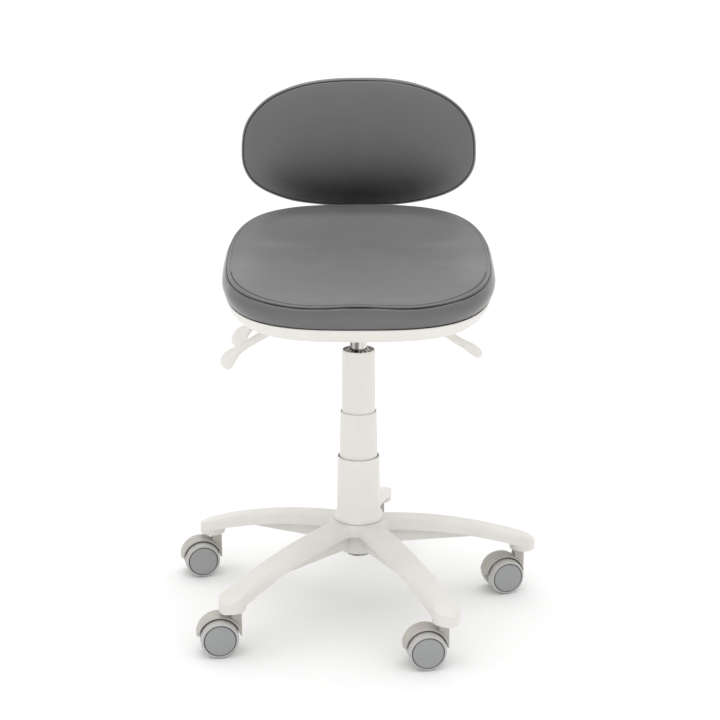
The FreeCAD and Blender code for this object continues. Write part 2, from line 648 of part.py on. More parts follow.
def egg(half_width, low_reach, high_reach, low_power, high_power):
    """Points round an egg of two half superellipses that share their widest line."""
    points = []
    for step in range(32):
        angle = math.radians(step * 360 / 32)
        reach, power = (high_reach, high_power) if math.sin(angle) >= 0 else (low_reach, low_power)
        across = math.copysign(abs(math.cos(angle)) ** (2 / power), math.cos(angle))
        along = math.copysign(abs(math.sin(angle)) ** (2 / power), math.sin(angle))
        points.append((half_width * across, reach * along))
    return points


def seat_outline(inset, height):
    """The seat's plan outline, drawn in by an inset."""
    shape = egg(s.seat_half_width.value - inset, s.seat_front_reach.value - inset,
                s.seat_rear_reach.value - inset, s.seat_front_power.value, s.seat_rear_power.value)
    return closed_curve([FreeCAD.Vector(x, s.seat_widest_y.value + y, height) for x, y in shape])


def lofted(sections, outline):
    return Part.makeLoft([outline(inset, height) for inset, height in sections], True, False)


def seat_parts():
    underside = s.plate_height + s.plate_thick
    rim = underside + s.pan_depth
    low, high = value_of(underside), value_of(rim)
    inset, wall = value_of(s.pan_inset), value_of(s.pan_wall)
    bolt_middle = (s.plate_front + s.plate_rear) / 2
    spots = []
    for x in (-s.bolt_span_x / 2, s.bolt_span_x / 2):
        for y in (bolt_middle - s.bolt_span_y / 2, bolt_middle + s.bolt_span_y / 2):
            spots.append((x, y))

    def bores(radius, z0, z1):
        return [rod(radius, z1 - z0, x, y, z0) for x, y in spots]

    # plate with two side lugs around the seat pivot
    half = s.housing_half_width
    plate = block(-s.plate_half_width, s.plate_half_width, s.plate_front, s.plate_rear, s.plate_height, underside)
    lugs = []
    for low_x in (half + 1, -half - 4.5):
        lugs.append(block(low_x, low_x + 3.5, -14, 14, 0, s.plate_height + 1))
        lugs.append(rod(14, 3.5, low_x, 0, 0, "x"))
    pin_hole = rod(s.pivot_radius + s.running_gap, half * 2 + 20, -half - 10, 0, 0, "x")
    on_seat(cut(fuse(plate, *lugs), pin_hole, *bores(s.bolt_radius + s.fit_gap, s.plate_height - 1, underside + 1)),
            "seat_plate")

    # slotted friction plate that hangs from the seat plate
    reach = s.clamp_y - s.pivot_y
    blade = block(s.quadrant_x, s.quadrant_x + s.quadrant_thick, reach - 18, reach + 18, -26.5, s.plate_height)
    slot_half = s.clamp_radius + s.free_gap
    ring = cut(rod(reach + slot_half, s.quadrant_thick + 2, s.quadrant_x - 1, 0, 0, "x"),
               rod(reach - slot_half, s.quadrant_thick + 4, s.quadrant_x - 2, 0, 0, "x"))
    far = reach * 1.2
    fan = padded([(0, 0), (far, far * math.tan(math.radians(-11.2))), (far, far * math.tan(math.radians(2.6)))],
                 80)
    slot_ends = []
    for angle in (-11.2, 2.6):
        y, z = reach * math.cos(math.radians(angle)), reach * math.sin(math.radians(angle))
        slot_ends.append(rod(slot_half, s.quadrant_thick + 2, s.quadrant_x - 1, y, z, "x"))
    on_seat(cut(blade, common(ring, fan), *slot_ends), "seat_quadrant")

    # moulded pan, its bosses and the plywood board
    outer = lofted(((inset, low), (inset * 0.5, low + 4.5), (inset * 0.26, low + 11), (6, high)), seat_outline)
    inner = lofted(((inset + wall, low + wall), (inset * 0.5 + wall, low + 7), (inset * 0.26 + wall, low + 12),
                    (6 + wall, high + 0.5)), seat_outline)
    board_foot = rim - s.board_thick
    bosses = bores(s.bolt_radius + 8, underside + 1, board_foot)
    holes = bores(s.bolt_radius + s.fit_gap, underside - 1, board_foot + 1)
    on_seat(cut(fuse(own_shape(outer.cut(inner), "pan_shell"), *bosses), *holes), "seat_pan")
    board_inset = value_of(s.board_inset)
    board = lofted(((board_inset, value_of(board_foot)), (board_inset, high)), seat_outline)
    on_seat(cut(own_shape(board, "board"), *bores(s.bolt_radius + s.fit_gap, board_foot - 1, rim - 2)),
            "seat_board")
    bolts = []
    for x, y in spots:
        head = rod(s.bolt_radius + 3, 4, x, y, s.plate_height - 4)
        bolts.append(fuse(rod(s.bolt_radius, rim - 3 - s.plate_height, x, y, s.plate_height), head))
    on_seat(group(*bolts), "seat_bolts")

    # cushion: upright loft trimmed by the seat's dished side profile
    foot = high + value_of(s.soft_gap)
    side, crown, rear = value_of(s.seat_side), value_of(s.crown_rise), value_of(s.rear_rise)
    seam = foot + side
    stack = ((5, foot), (1, foot + side * 0.3), (0, foot + side * 0.55), (4, seam), (9, seam + crown),
             (14, seam + rear * 0.8), (24, seam + rear * 1.2))
    middle = value_of(s.seat_widest_y + (s.seat_rear_reach - s.seat_front_reach) / 2)
    deep = value_of((s.seat_front_reach + s.seat_rear_reach) / 2)
    curve = [(-1.0, -0.5), (-0.97, 0.2), (-0.92, 0.55), (-0.8, 0.8), (-0.6, 0.85), (-0.35, 0.6), (0, 0.4),
             (0.3, 0.6), (0.6, 1.2), (0.8, 1.85), (0.9, 2.15), (0.95, 2.0), (0.98, 1.4), (1.0, 0.4)]
    profile = [(middle + deep * part * 1.004, seam + crown * rise) for part, rise in curve]
    profile += [(middle + deep * 1.05, foot - 1), (middle - deep * 1.05, foot - 1)]
    points = [FreeCAD.Vector(-300, y, z) for y, z in profile]
    side_view = Part.Face(Part.makePolygon(points + points[:1])).extrude(FreeCAD.Vector(600, 0, 0))
    on_seat(own_shape(lofted(stack, seat_outline).common(side_view), "cushion"), "seat_cushion")



def on_back(thing, label=None):
    place(thing, 0, s.back_front_y, s.back_middle_z, (1, 0, 0), -s.back_lean)
    return node(thing, label) if label else thing


def oval_outline(inset, depth):
    """The backrest's egg outline in its own upright plane, drawn in by an inset."""
    shape = egg(s.back_half_width.value - inset, s.back_low_reach.value - inset,
                s.back_top_reach.value - inset, s.back_low_power.value, s.back_top_power.value)
    return closed_curve([FreeCAD.Vector(x, depth, s.back_widest_z.value + z) for x, z in shape])


def back_parts():
    pad_rear = value_of(s.back_pad_thick)
    shell_front = pad_rear + value_of(s.soft_gap)
    shell_rear = pad_rear + value_of(s.back_shell_thick)
    thick = shell_rear - shell_front
    stack = ((5, pad_rear), (1, pad_rear * 0.8), (0, pad_rear * 0.62), (3, pad_rear * 0.36), (9, pad_rear * 0.16),
             (22, pad_rear * 0.05), (48, 0))
    on_back(own_shape(lofted(stack, oval_outline), "cushion"), "back_cushion")
    wall = 3
    outer = lofted(((4, shell_front), (8, shell_front + thick * 0.4), (16, shell_front + thick * 0.8),
                    (30, shell_rear)), oval_outline)
    inner = lofted(((4 + wall, shell_front - 0.5), (8 + wall, shell_front + thick * 0.35),
                    (16 + wall, shell_front + thick * 0.6), (30, shell_rear - wall)), oval_outline)
    board_front = shell_front + 0.2
    board = lofted(((23, board_front), (23, board_front + value_of(s.back_board_thick))), oval_outline)
    board_rear = board_front + value_of(s.back_board_thick)
    spots = []
    for x in (-s.carriage_half_width + 7, s.carriage_half_width - 7):
        for z in (-s.carriage_drop - s.carriage_height / 2 + 8, -s.carriage_drop + s.carriage_height / 2 - 8):
            spots.append((x, z))

    def bores(radius, y0, y1):
        return [rod(radius, y1 - y0, x, y0, z, "y") for x, z in spots]

    bosses = bores(s.screw_radius + 5, board_rear, shell_rear - 1)
    shell = fuse(own_shape(outer.cut(inner), "back_dish"), *bosses)
    on_back(cut(shell, *bores(s.screw_radius + s.fit_gap, board_rear - 1, shell_rear + 1)), "back_shell")
    on_back(cut(own_shape(board, "board"), *bores(s.screw_radius + s.fit_gap, board_front + 2, board_rear + 1)),
            "back_board")

    # slider that wraps the flat bar, clamped by a lobed knob
    front, rear = shell_rear + s.fit_gap, shell_rear + s.carriage_thick
    half, low = s.carriage_half_width, -s.carriage_drop - s.carriage_height / 2
    gap = s.running_gap
    body = block(-half, half, front, rear, low, low + s.carriage_height)
    slot = block(-s.bar_width / 2 - gap, s.bar_width / 2 + gap, s.bar_stand - gap, s.bar_stand + s.bar_thick + gap,
                 low - 1, low + s.carriage_height + 1)
    stud_hole = rod(s.clamp_radius + s.fit_gap, 20, 0, s.bar_stand + s.bar_thick, -s.carriage_drop, "y")
    recess = bores(s.screw_radius + 2.6, rear - 4.5, rear + 1)
    holes = bores(s.screw_radius + s.fit_gap, front - 1, rear + 1)
    on_back(cut(body, slot, stud_hole, *recess, *holes), "back_slider")
    screws = []
    for x, z in spots:
        head = rod(s.screw_radius + 2.2, 3.5, x, rear - 4.5 + s.fit_gap, z, "y")
        shank = rod(s.screw_radius, rear - 4 - (board_front + 4), x, board_front + 4, z, "y")
        screws.append(fuse(head, shank))
    on_back(group(*screws), "back_screws")
    knob_front = rear + 1.5
    lobes = []
    for number in range(int(s.knob_lobes)):
        x, z = polar(s.knob_radius.value + 5, 0, (number + 0.5) * 360 / s.knob_lobes.value)
        lobes.append(rod(9, s.knob_depth + 2, x, knob_front - 1, -s.carriage_drop.value + z, "y"))
    grip = cut(rod(s.knob_radius, s.knob_depth, 0, knob_front, -s.carriage_drop, "y"), *lobes)
    tip = s.bar_stand + s.bar_thick + gap * 2
    stud = rod(s.clamp_radius, knob_front + 2 - tip, 0, tip, -s.carriage_drop, "y")
    neck = rod(s.clamp_radius + 4, 1, 0, rear + 0.6, -s.carriage_drop, "y")
    on_back(fuse(grip, stud, neck), "back_knob")


def back_arm():
    """The flat bar that runs back under the seat and bends up, and its bracket on the recline pivot."""
    lean = math.radians(s.back_lean.value)
    across, up = (math.cos(lean), -math.sin(lean)), (math.sin(lean), math.cos(lean))
    stand, inner, thick = s.bar_stand.value, s.bar_bend.value, s.bar_thick.value
    face = (s.back_front_y.value + stand * across[0], s.back_middle_z.value + stand * across[1])
    foot = s.back_pivot_z - 4
    top = foot + s.fit_gap + s.bar_thick
    centre_z = top.value + inner
    centre_y = face[0] + ((centre_z - face[1]) * math.sin(lean) - inner) / math.cos(lean)
    half = s.bar_width / 2
    near = s.back_pivot_y + 16
    lower = block(-half, half, near, centre_y, foot + s.fit_gap, top)
    ring = cut(rod(inner + thick, s.bar_width, -half, centre_y, centre_z, "x"),
               rod(inner, s.bar_width + 2, -half - 1, centre_y, centre_z, "x"))
    reach = 3 * (inner + thick)
    fan = padded([(centre_y, centre_z), (centre_y, centre_z - reach), (centre_y + reach, centre_z - reach),
                  (centre_y + reach, centre_z - reach * math.tan(lean))], s.bar_width + 4)
    start = (centre_y + inner * across[0], centre_z + inner * across[1])
    length = (s.bar_top.value - start[1]) / up[1]
    upright = bind(doc.addObject("Part::Box", "upright"), Length=s.bar_width, Width=s.bar_thick, Height=length)
    place(upright, -half, start[0], start[1], (1, 0, 0), -s.back_lean)
    bolt_spots = (near + 14, near + 40)
    holes = [rod(s.bolt_radius + s.fit_gap, 30, 0, y, foot - 10) for y in bolt_spots]
    node(cut(fuse(lower, common(ring, fan), upright), *holes), "back_bar")

    # bracket: two lugs on the pivot, the right one slotted for the recline clamp
    pivot_y, pivot_z = s.back_pivot_y, s.back_pivot_z
    reach = s.back_pivot_y - s.back_clamp_y
    rear = near + 52
    tail = [(rear, foot - 8), (rear, foot), (pivot_y + 14, foot), (pivot_y + 11, pivot_z + 10)]
    right = padded([(pivot_y - reach - 12, pivot_z - 17)] + tail + [(pivot_y - reach - 12, pivot_z + 11.5)],
                   s.lug_thick)
    place(right, s.lug_x + s.lug_thick / 2)
    left = padded([(pivot_y - 12, pivot_z - 15)] + tail + [(pivot_y - 12, pivot_z + 10)], s.lug_thick)
    place(left, -s.lug_x - s.lug_thick / 2)
    saddle = block(-half + 3, half - 3, pivot_y + 14, rear, foot - 4, foot)
    slot_half = s.clamp_radius + s.free_gap
    ring = cut(rod(reach + slot_half, s.lug_thick + 2, s.lug_x - 1, pivot_y, pivot_z, "x"),
               rod(reach - slot_half, s.lug_thick + 4, s.lug_x - 2, pivot_y, pivot_z, "x"))
    far = reach.value * 1.4
    fan = padded([(pivot_y, pivot_z), (pivot_y - far, pivot_z - far * math.tan(math.radians(12.6))),
                  (pivot_y - far, pivot_z + far * math.tan(math.radians(4.6)))], 60)
    ends = []
    for angle in (-12.6, 4.6):
        turn = math.radians(angle)
        ends.append(rod(slot_half, s.lug_thick + 2, s.lug_x - 1, pivot_y - reach * math.cos(turn),
                        pivot_z + reach * math.sin(turn), "x"))
    pin_hole = rod(s.pivot_radius + s.running_gap, s.lug_x * 4, -s.lug_x * 2, pivot_y, pivot_z, "x")
    node(cut(fuse(right, left, saddle), common(ring, fan), *ends, pin_hole, *holes), "back_bracket")
    bolts = []
    for y in bolt_spots:
        shank = rod(s.bolt_radius, top - foot + 10, 0, y, foot - 10)
        head = rod(s.bolt_radius + 3, 4, 0, y, top)
        nut = cut(rod(s.bolt_radius + 2.8, 4, 0, y, foot - 8), rod(s.bolt_radius, 6, 0, y, foot - 9))
        bolts.append(fuse(shank, head, nut))
    node(group(*bolts), "back_bolts")


star_base()
column_parts()
cylinder_parts()
cover_parts()
for number in range(int(s.arm_count)):
    caster(number)
caster_stems()
mechanism_housing()
pins()
lever("height", 1, -4)
lever("tilt", -1, s.lever_inner_x)
lever("recline", -1, s.lever_inner_x)
clamp("tilt_clamp", s.clamp_y, s.clamp_z, s.tilt_lever_y - 6, s.clamp_y + 7)
clamp("recline_clamp", s.back_clamp_y, s.back_pivot_z, s.back_clamp_y - 7, s.recline_lever_y + 6)
clamp_plates()
seat_parts()
back_parts()
back_arm()
doc.recompute()

os.makedirs("parts", exist_ok=True)
faults = [thing.Name for thing in doc.Objects if {"Invalid", "Error"} & set(thing.State)]
for label, thing in nodes:
    if thing.Shape.isNull() or not thing.Shape.isValid() or not thing.Shape.Solids:
        faults.append(label)
if faults:
    raise SystemExit(f"these did not come out whole: {faults}")
for label, thing in nodes:
    thing.Shape.exportStep(f"parts/{label}.step")
print(f"{len(nodes)} nodes written")
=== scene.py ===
import json
import math

import bmesh
import bpy
from mathutils import Matrix, Vector, kdtree, noise


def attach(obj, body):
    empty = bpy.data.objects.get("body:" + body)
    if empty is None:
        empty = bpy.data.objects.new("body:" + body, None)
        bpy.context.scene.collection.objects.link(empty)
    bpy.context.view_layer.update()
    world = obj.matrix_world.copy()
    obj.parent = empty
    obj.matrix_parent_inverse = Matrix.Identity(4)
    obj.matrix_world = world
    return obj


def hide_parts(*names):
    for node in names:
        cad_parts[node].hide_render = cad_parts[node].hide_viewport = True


# A dentist's stool, in metres, +Z up and -Y to the front of the seat. Each piece is made where it
# stands on the CAD frame, rides on that part's body and takes the place of the plain CAD node.

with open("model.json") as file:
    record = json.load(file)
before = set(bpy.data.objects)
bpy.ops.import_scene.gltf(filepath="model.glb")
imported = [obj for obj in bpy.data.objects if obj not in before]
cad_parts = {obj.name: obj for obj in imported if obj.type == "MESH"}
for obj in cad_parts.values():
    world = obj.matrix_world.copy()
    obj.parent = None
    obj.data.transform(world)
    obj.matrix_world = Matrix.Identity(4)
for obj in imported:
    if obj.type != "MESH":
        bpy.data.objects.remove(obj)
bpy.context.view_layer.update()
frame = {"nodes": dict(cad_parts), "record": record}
mm = 0.001
sharpAngle = 35  # degrees: steeper edges stay crisp
flatAngle = 0.6  # degrees: facets flatter than this are one face
weld = 2e-6  # metres: facet corners nearer than this become one


# a hex colour as the linear numbers that shaders take
def rgb(code):
    channels = [int(code[i:i + 2], 16) / 255 for i in (1, 3, 5)]
    linear = [c / 12.92 if c <= 0.04045 else ((c + 0.055) / 1.055) ** 2.4 for c in channels]
    return (*linear, 1)


# adds a shader node with its fields, input values and links
def add(tree, kind, fields=None, values=None, links=None):
    made = tree.nodes.new(kind)
    for name, value in (fields or {}).items():
        setattr(made, name, value)
    for name, value in (values or {}).items():
        made.inputs[name].default_value = value
    for name, source in (links or {}).items():
        tree.links.new(source, made.inputs[name])
    return made


# noise whose cells are about grainSize millimetres across
def noiseOf(tree, where, grainSize, detail=3, roughness=0.55):
    return add(tree, "ShaderNodeTexNoise", None,
               {"Scale": 1000 / grainSize, "Detail": detail, "Roughness": roughness},
               {"Vector": where}).outputs["Fac"]


def remap(tree, source, low, high, toLow, toHigh):
    return add(tree, "ShaderNodeMapRange", None,
               {"From Min": low, "From Max": high, "To Min": toLow, "To Max": toHigh},
               {"Value": source}).outputs["Result"]


def blendColours(tree, amount, first, second):
    mix = add(tree, "ShaderNodeMix", {"data_type": "RGBA"}, {6: rgb(first), 7: rgb(second)}, {0: amount})
    return mix.outputs[2]


# a principled material for one slot of the record; build returns the links of what varies
def makeMaterial(name, slot, build, **settings):
    material = bpy.data.materials.new(name)
    material["slot"] = slot
    material.use_nodes = True
    tree = material.node_tree
    shader = tree.nodes["Principled BSDF"]
    for key, value in settings.items():
        shader.inputs[key].default_value = value
    where = add(tree, "ShaderNodeTexCoord").outputs["Object"]
    for key, source in build(tree, where).items():
        tree.links.new(source, shader.inputs[key])
    return material


# stacks bump layers of (height source, strength, distance in millimetres)
def bumps(tree, layers):
    normal = None
    for height, strength, distance in layers:
        links = {"Height": height}
        if normal:
            links["Normal"] = normal
        normal = add(tree, "ShaderNodeBump", None, {"Strength": strength, "Distance": distance * mm},
                     links).outputs["Normal"]
    return normal


# moulded or enamelled surface: a faint cloudiness, an uneven satin and a fine skin
def moulded(colour, shade, roughLow, roughHigh, texture=0.08):
    def build(tree, where):
        cloud = noiseOf(tree, where, 60, 2)
        smear = noiseOf(tree, where, 22, 3)
        skin = noiseOf(tree, where, 0.9, 2)
        return {"Base Color": blendColours(tree, remap(tree, cloud, 0.35, 0.7, 0, 1), colour, shade),
                "Roughness": remap(tree, smear, 0.3, 0.7, roughLow, roughHigh),
                "Normal": bumps(tree, [(skin, texture, 0.05)])}
    return build


upholsteryFinish = {
    # the near-black third colour is painted shade for the gap between the cushions; shadeReach is its reach,
    # metres
    "tone": "#2A2A2A", "deep": "#222222", "paintedShade": "#0A0A0A",
    "pebble": 0.9, "crease": 2.2, "speckle": 1.5, "drift": 90, "wear": 35,  # grain sizes, mm
    "rough": (0.42, 0.5), "sheen": 0.8, "shadeReach": 0.3,
}


# fine pebbled grain, slow colour drift and slightly polished high spots; painted shade where the cloth
# faces another cushion closely: it is darker there, with less specular and sheen
def upholsteryLook(tree, where):
    finish = upholsteryFinish
    pebble = add(tree, "ShaderNodeTexVoronoi", {"feature": "SMOOTH_F1"},
                 {"Scale": 1000 / finish["pebble"], "Smoothness": 0.6}, {"Vector": where}).outputs["Distance"]
    crease = noiseOf(tree, where, finish["crease"], 4)
    drift = noiseOf(tree, where, finish["drift"], 2)
    worn = noiseOf(tree, where, finish["wear"], 3)
    speckle = noiseOf(tree, where, finish["speckle"], 2)
    mixed = add(tree, "ShaderNodeMath", {"operation": "MULTIPLY_ADD"}, {1: 0.45},
                {0: speckle, 2: drift}).outputs["Value"]
    surface = blendColours(tree, remap(tree, mixed, 0.55, 0.9, 0, 1), finish["tone"], finish["deep"])
    # how open the surface is to its surroundings: low in the gap between the cushions, where it paints shade
    openness = add(tree, "ShaderNodeAmbientOcclusion", {"samples": 8},
                   {"Distance": finish["shadeReach"]}).outputs["AO"]
    shade = remap(tree, openness, 0.45, 0.95, 0, 1)
    # painted shade: colour, specular and sheen fall away towards near-black where the surface is closed in
    shaded = add(tree, "ShaderNodeMix", {"data_type": "RGBA"}, {6: rgb(finish["paintedShade"])},
                 {0: shade, 7: surface}).outputs[2]
    return {"Base Color": shaded,
            "Specular IOR Level": remap(tree, shade, 0, 1, 0.04, 0.5),
            "Sheen Weight": remap(tree, shade, 0, 1, 0, finish["sheen"]),
            "Roughness": remap(tree, worn, 0.3, 0.7, *finish["rough"]),
            "Normal": bumps(tree, [(pebble, 0.2, 0.10), (crease, 0.14, 0.14)])}


# bright metal with upright dark and light bands painted into its colour: painted reflection streaks on a tube
def chromeLook(tree, where):
    stretched = add(tree, "ShaderNodeMapping", None, {"Scale": (1, 1, 0.01)},
                    {"Vector": where}).outputs["Vector"]
    paintedReflection = noiseOf(tree, stretched, 9, 2)
    streak = noiseOf(tree, where, 3, 2)
    # painted reflection: the colour swings between dark and light in upright bands
    return {"Base Color": blendColours(tree, remap(tree, paintedReflection, 0.42, 0.58, 0, 1), "#6E6C69", "#D9D7D4"),
            "Roughness": remap(tree, streak, 0.3, 0.7, 0.08, 0.14)}


def brushedLook(low, high):
    def build(tree, where):
        streak = noiseOf(tree, where, 0.7, 3)
        cloud = noiseOf(tree, where, 14, 3)
        return {"Roughness": remap(tree, cloud, 0.3, 0.7, low, high),
                "Normal": bumps(tree, [(streak, 0.06, 0.04)])}
    return build


# warm white enamel of the base: a soft, clean highlight along each arm
enamel = makeMaterial("white_enamel", "white_base", moulded("#E4E1DC", "#DFDCD6", 0.34, 0.42), IOR=1.5)
# white enamelled steel of the tilt housing and the backrest bar
whiteSteel = makeMaterial("white_steel", "white_steel", moulded("#E6E3DE", "#E2DFD9", 0.32, 0.4), IOR=1.5)
# warm white moulding of pan, covers and levers
whiteMoulding = makeMaterial("white_moulding", "white_plastic",
                             moulded("#E9E6E1", "#E5E2DC", 0.38, 0.46, 0.12), IOR=1.48)
# dark grey coated upholstery: the dull, even sheen of the two cushions, with painted shade where they close
# in
upholstery = makeMaterial("grey_upholstery", "upholstery", upholsteryLook, IOR=2.3,
                          **{"Sheen Roughness": 0.35, "Sheen Tint": rgb("#F2F2F2")})
# twisted thread, a touch darker than the cover
thread = makeMaterial("dark_thread", "upholstery", moulded("#262626", "#202020", 0.6, 0.7, 0.2), IOR=1.45)
# soft polyurethane tread: matte pale grey
tread = makeMaterial("tread_grey", "wheel_grey", moulded("#BDBCBA", "#B6B5B2", 0.5, 0.6, 0.15), IOR=1.5)
# caps of the wheels: satin mid grey
capGrey = makeMaterial("cap_grey", "wheel_grey", moulded("#9C9D9E", "#979899", 0.36, 0.44, 0.08), IOR=1.5)
# groove between cap and tread: a dark grey ring at its floor, painted shade in the gap
grooveShade = makeMaterial("groove_shade", "wheel_grey", moulded("#565656", "#4E4E4E", 0.5, 0.6), IOR=1.5)
# beige-grey nylon of the caster frames
nylon = makeMaterial("caster_nylon", "grey_plastic",
                     moulded("#BCB8B1", "#B4B0A9", 0.4, 0.5, 0.12), IOR=1.52)
# darker grey of the ring in the mouth of the cover
collarGrey = makeMaterial("collar_grey", "grey_plastic",
                          moulded("#8A8780", "#7F7C75", 0.45, 0.55, 0.15), IOR=1.5)
# black nylon of the slider, knob and bushes
blackNylon = makeMaterial("black_nylon", "dark_plastic",
                          moulded("#1D1D1E", "#232324", 0.42, 0.55, 0.25), IOR=1.52)
# chrome of the gas spring and the column's foot, with painted reflection bands
chrome = makeMaterial("chrome", "chrome", chromeLook, Metallic=1.0)
# knurled steel of the column's swaged foot: duller than the tube
knurledSteel = makeMaterial("knurled_steel", "chrome", brushedLook(0.35, 0.5), Metallic=1.0,
                            **{"Base Color": rgb("#9A9894")})
# zinc plated pins, bars and screws
zinc = makeMaterial("zinc_plate", "steel", brushedLook(0.25, 0.4), Metallic=1.0,
                    **{"Base Color": rgb("#BFC0C0")})
# black powder coat of the mechanism, with its fine orange peel
powderCoat = makeMaterial("powder_coat", "black_steel",
                          moulded("#1A1A1B", "#202021", 0.45, 0.6, 0.5), IOR=1.5)
# raw plywood edge under the cushions
plywood = makeMaterial("plywood", "plywood", moulded("#B08D5E", "#94734A", 0.6, 0.75, 0.3), IOR=1.5)
# rubber of the buffer in the column
rubberBlack = makeMaterial("rubber_black", "rubber", moulded("#141414", "#191919", 0.7, 0.8, 0.3), IOR=1.5)


# names a finished object, gives it its finish and lets it ride on its body
def keep(name, obj, material, body, stands=()):
    obj.name = name
    obj.data.name = name
    obj.data.materials.clear()
    obj.data.materials.append(material)
    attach(obj, body)
    if stands:
        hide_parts(*stands)
    return obj


def meshObject(name, points, faces, place=None):
    mesh = bpy.data.meshes.new(name)
    mesh.from_pydata([tuple(p) for p in points], [], faces)
    if place:
        mesh.transform(place)
    work = bmesh.new()
    work.from_mesh(mesh)
    bmesh.ops.remove_doubles(work, verts=work.verts, dist=1e-6)
    bmesh.ops.recalc_face_normals(work, faces=work.faces)
    work.to_mesh(mesh)
    work.free()
    obj = bpy.data.objects.new(name, mesh)
    bpy.context.scene.collection.objects.link(obj)
    mesh.shade_smooth()
    return obj


# bakes an object's modifiers into its mesh
def applied(obj):
    seen = obj.evaluated_get(bpy.context.evaluated_depsgraph_get())
    mesh = bpy.data.meshes.new_from_object(seen)
    obj.modifiers.clear()
    obj.data = mesh
    return obj


# rounds every sharp edge by a small bevel, in millimetres
def softened(obj, width=0.6, degrees=sharpAngle, segments=2):
    bevel = obj.modifiers.new("edges", "BEVEL")
    bevel.width = width * mm
    bevel.segments = segments
    bevel.limit_method = "ANGLE"
    bevel.angle_limit = math.radians(degrees)
    bevel.harden_normals = True
    applied(obj)
    return obj


# a copy of a CAD node with welded facets and rounded edges
def fromCad(node, name, material, width):
    source = frame["nodes"][node]
    obj = bpy.data.objects.new(name, source.data.copy())
    bpy.context.scene.collection.objects.link(obj)
    work = bmesh.new()
    work.from_mesh(obj.data)
    bmesh.ops.remove_doubles(work, verts=work.verts, dist=weld)
    bmesh.ops.dissolve_limit(work, angle_limit=math.radians(flatAngle), verts=work.verts,
                             edges=work.edges)
    for edge in work.edges:
        edge.smooth = len(edge.link_faces) == 2 and edge.calc_face_angle(0) < math.radians(sharpAngle)
    work.to_mesh(obj.data)
    work.free()
    obj.data.shade_smooth()
    if width:
        softened(obj, width)
    return keep(name, obj, material, bodyOfNode(node), [node])


def bodyOfNode(node):
    groups = frame["record"]["behaviour"]["bodies"]
    return next(body for body, members in groups.items() if node in members)


# faces between rings of equally many points; closed rings can be capped straight across
def loft(rings, startCap=True, endCap=True, closed=True):
    points = [p for ring in rings for p in ring]
    count = len(rings[0])
    faces = []
    for row in range(len(rings) - 1):
        for i in range(count if closed else count - 1):
            j = (i + 1) % count
            faces.append((row * count + i, row * count + j, (row + 1) * count + j, (row + 1) * count + i))
    half = count // 2
    for wanted, row in ((startCap, 0), (endCap, len(rings) - 1)):
        if wanted:
            at = row * count
            faces += [(at, at + 1, at + count - 1), (at + half - 1, at + half, at + half + 1)]
            faces += [(at + i, at + i + 1, at + count - i - 1, at + count - i) for i in range(1, half - 1)]
    return points, faces


# turns (a, b, radius) corners into a line with rounded corners
def roundCorners(corners, steps=4, closedLoop=False):
    line = []
    count = len(corners)
    for i, (a, b, radius) in enumerate(corners):
        here = Vector((a, b))
        if radius == 0 or (not closedLoop and i in (0, count - 1)):
            line.append((a, b))
            continue
        before = Vector(corners[i - 1][:2]) - here
        after = Vector(corners[(i + 1) % count][:2]) - here
        reach = min(radius, before.length * 0.48, after.length * 0.48)
        start, end = here + before.normalized() * reach, here + after.normalized() * reach
        for step in range(steps + 1):
            share = step / steps
            p = start * (1 - share) ** 2 + here * 2 * share * (1 - share) + end * share ** 2
            line.append((p.x, p.y))
    return line


# a turned piece from (radius, height, corner rounding) in millimetres about Z
def lathe(name, corners, place=None, segments=96, closedLoop=True, steps=4):
    line = roundCorners(corners, steps, closedLoop)
    rings = []
    for number in range(segments):
        turn = 2 * math.pi * number / segments
        rings.append([Vector((r * math.cos(turn), r * math.sin(turn), z)) * mm for r, z in line])
    rings.append(rings[0])
    points, faces = loft(rings, False, False, closedLoop)
    return meshObject(name, points, faces, place)


# a slab with rounded edges: a closed outline of (a, b) in millimetres between two planes
def prism(name, outline, low, high, axis="y", place=None, bevel=0.8, segments=3):
    def put(a, b, c):
        return Vector({"y": (a, c, b), "x": (c, a, b), "z": (a, b, c)}[axis]) * mm
    count = len(outline)
    points = [put(a, b, low) for a, b in outline] + [put(a, b, high) for a, b in outline]
    faces = [tuple(range(count)), tuple(range(count, 2 * count))]
    faces += [(i, (i + 1) % count, count + (i + 1) % count, count + i) for i in range(count)]
    obj = meshObject(name, points, faces, place)
    if bevel:
        softened(obj, bevel, 30, segments)
    return obj


# puts several objects into one piece
def joined(name, objects):
    bpy.ops.object.select_all(action="DESELECT")
    for obj in objects:
        obj.select_set(True)
    bpy.context.view_layer.objects.active = objects[0]
    bpy.ops.object.join()
    objects[0].name = name
    return objects[0]


# a closed line of points laid out again with even spacing
def evenly(points, count):
    ends = points + points[:1]
    lengths = [0]
    for a, b in zip(ends, ends[1:]):
        lengths.append(lengths[-1] + (Vector(b) - Vector(a)).length)
    laid, at = [], 0
    for number in range(count):
        target = lengths[-1] * number / count
        while lengths[at + 1] < target:
            at += 1
        share = (target - lengths[at]) / (lengths[at + 1] - lengths[at])
        laid.append(Vector(ends[at]).lerp(Vector(ends[at + 1]), share))
    return laid


# two half superellipses that share their widest line, in millimetres
def egg(halfWidth, lowReach, highReach, lowPower, highPower, count):
    points = []
    for step in range(1440):
        angle = math.radians(step / 4)
        reach, power = (highReach, highPower) if math.sin(angle) >= 0 else (lowReach, lowPower)
        across = math.copysign(abs(math.cos(angle)) ** (2 / power), math.cos(angle))
        along = math.copysign(abs(math.sin(angle)) ** (2 / power), math.sin(angle))
        points.append(Vector((halfWidth * across, reach * along)))
    return evenly(points, count)


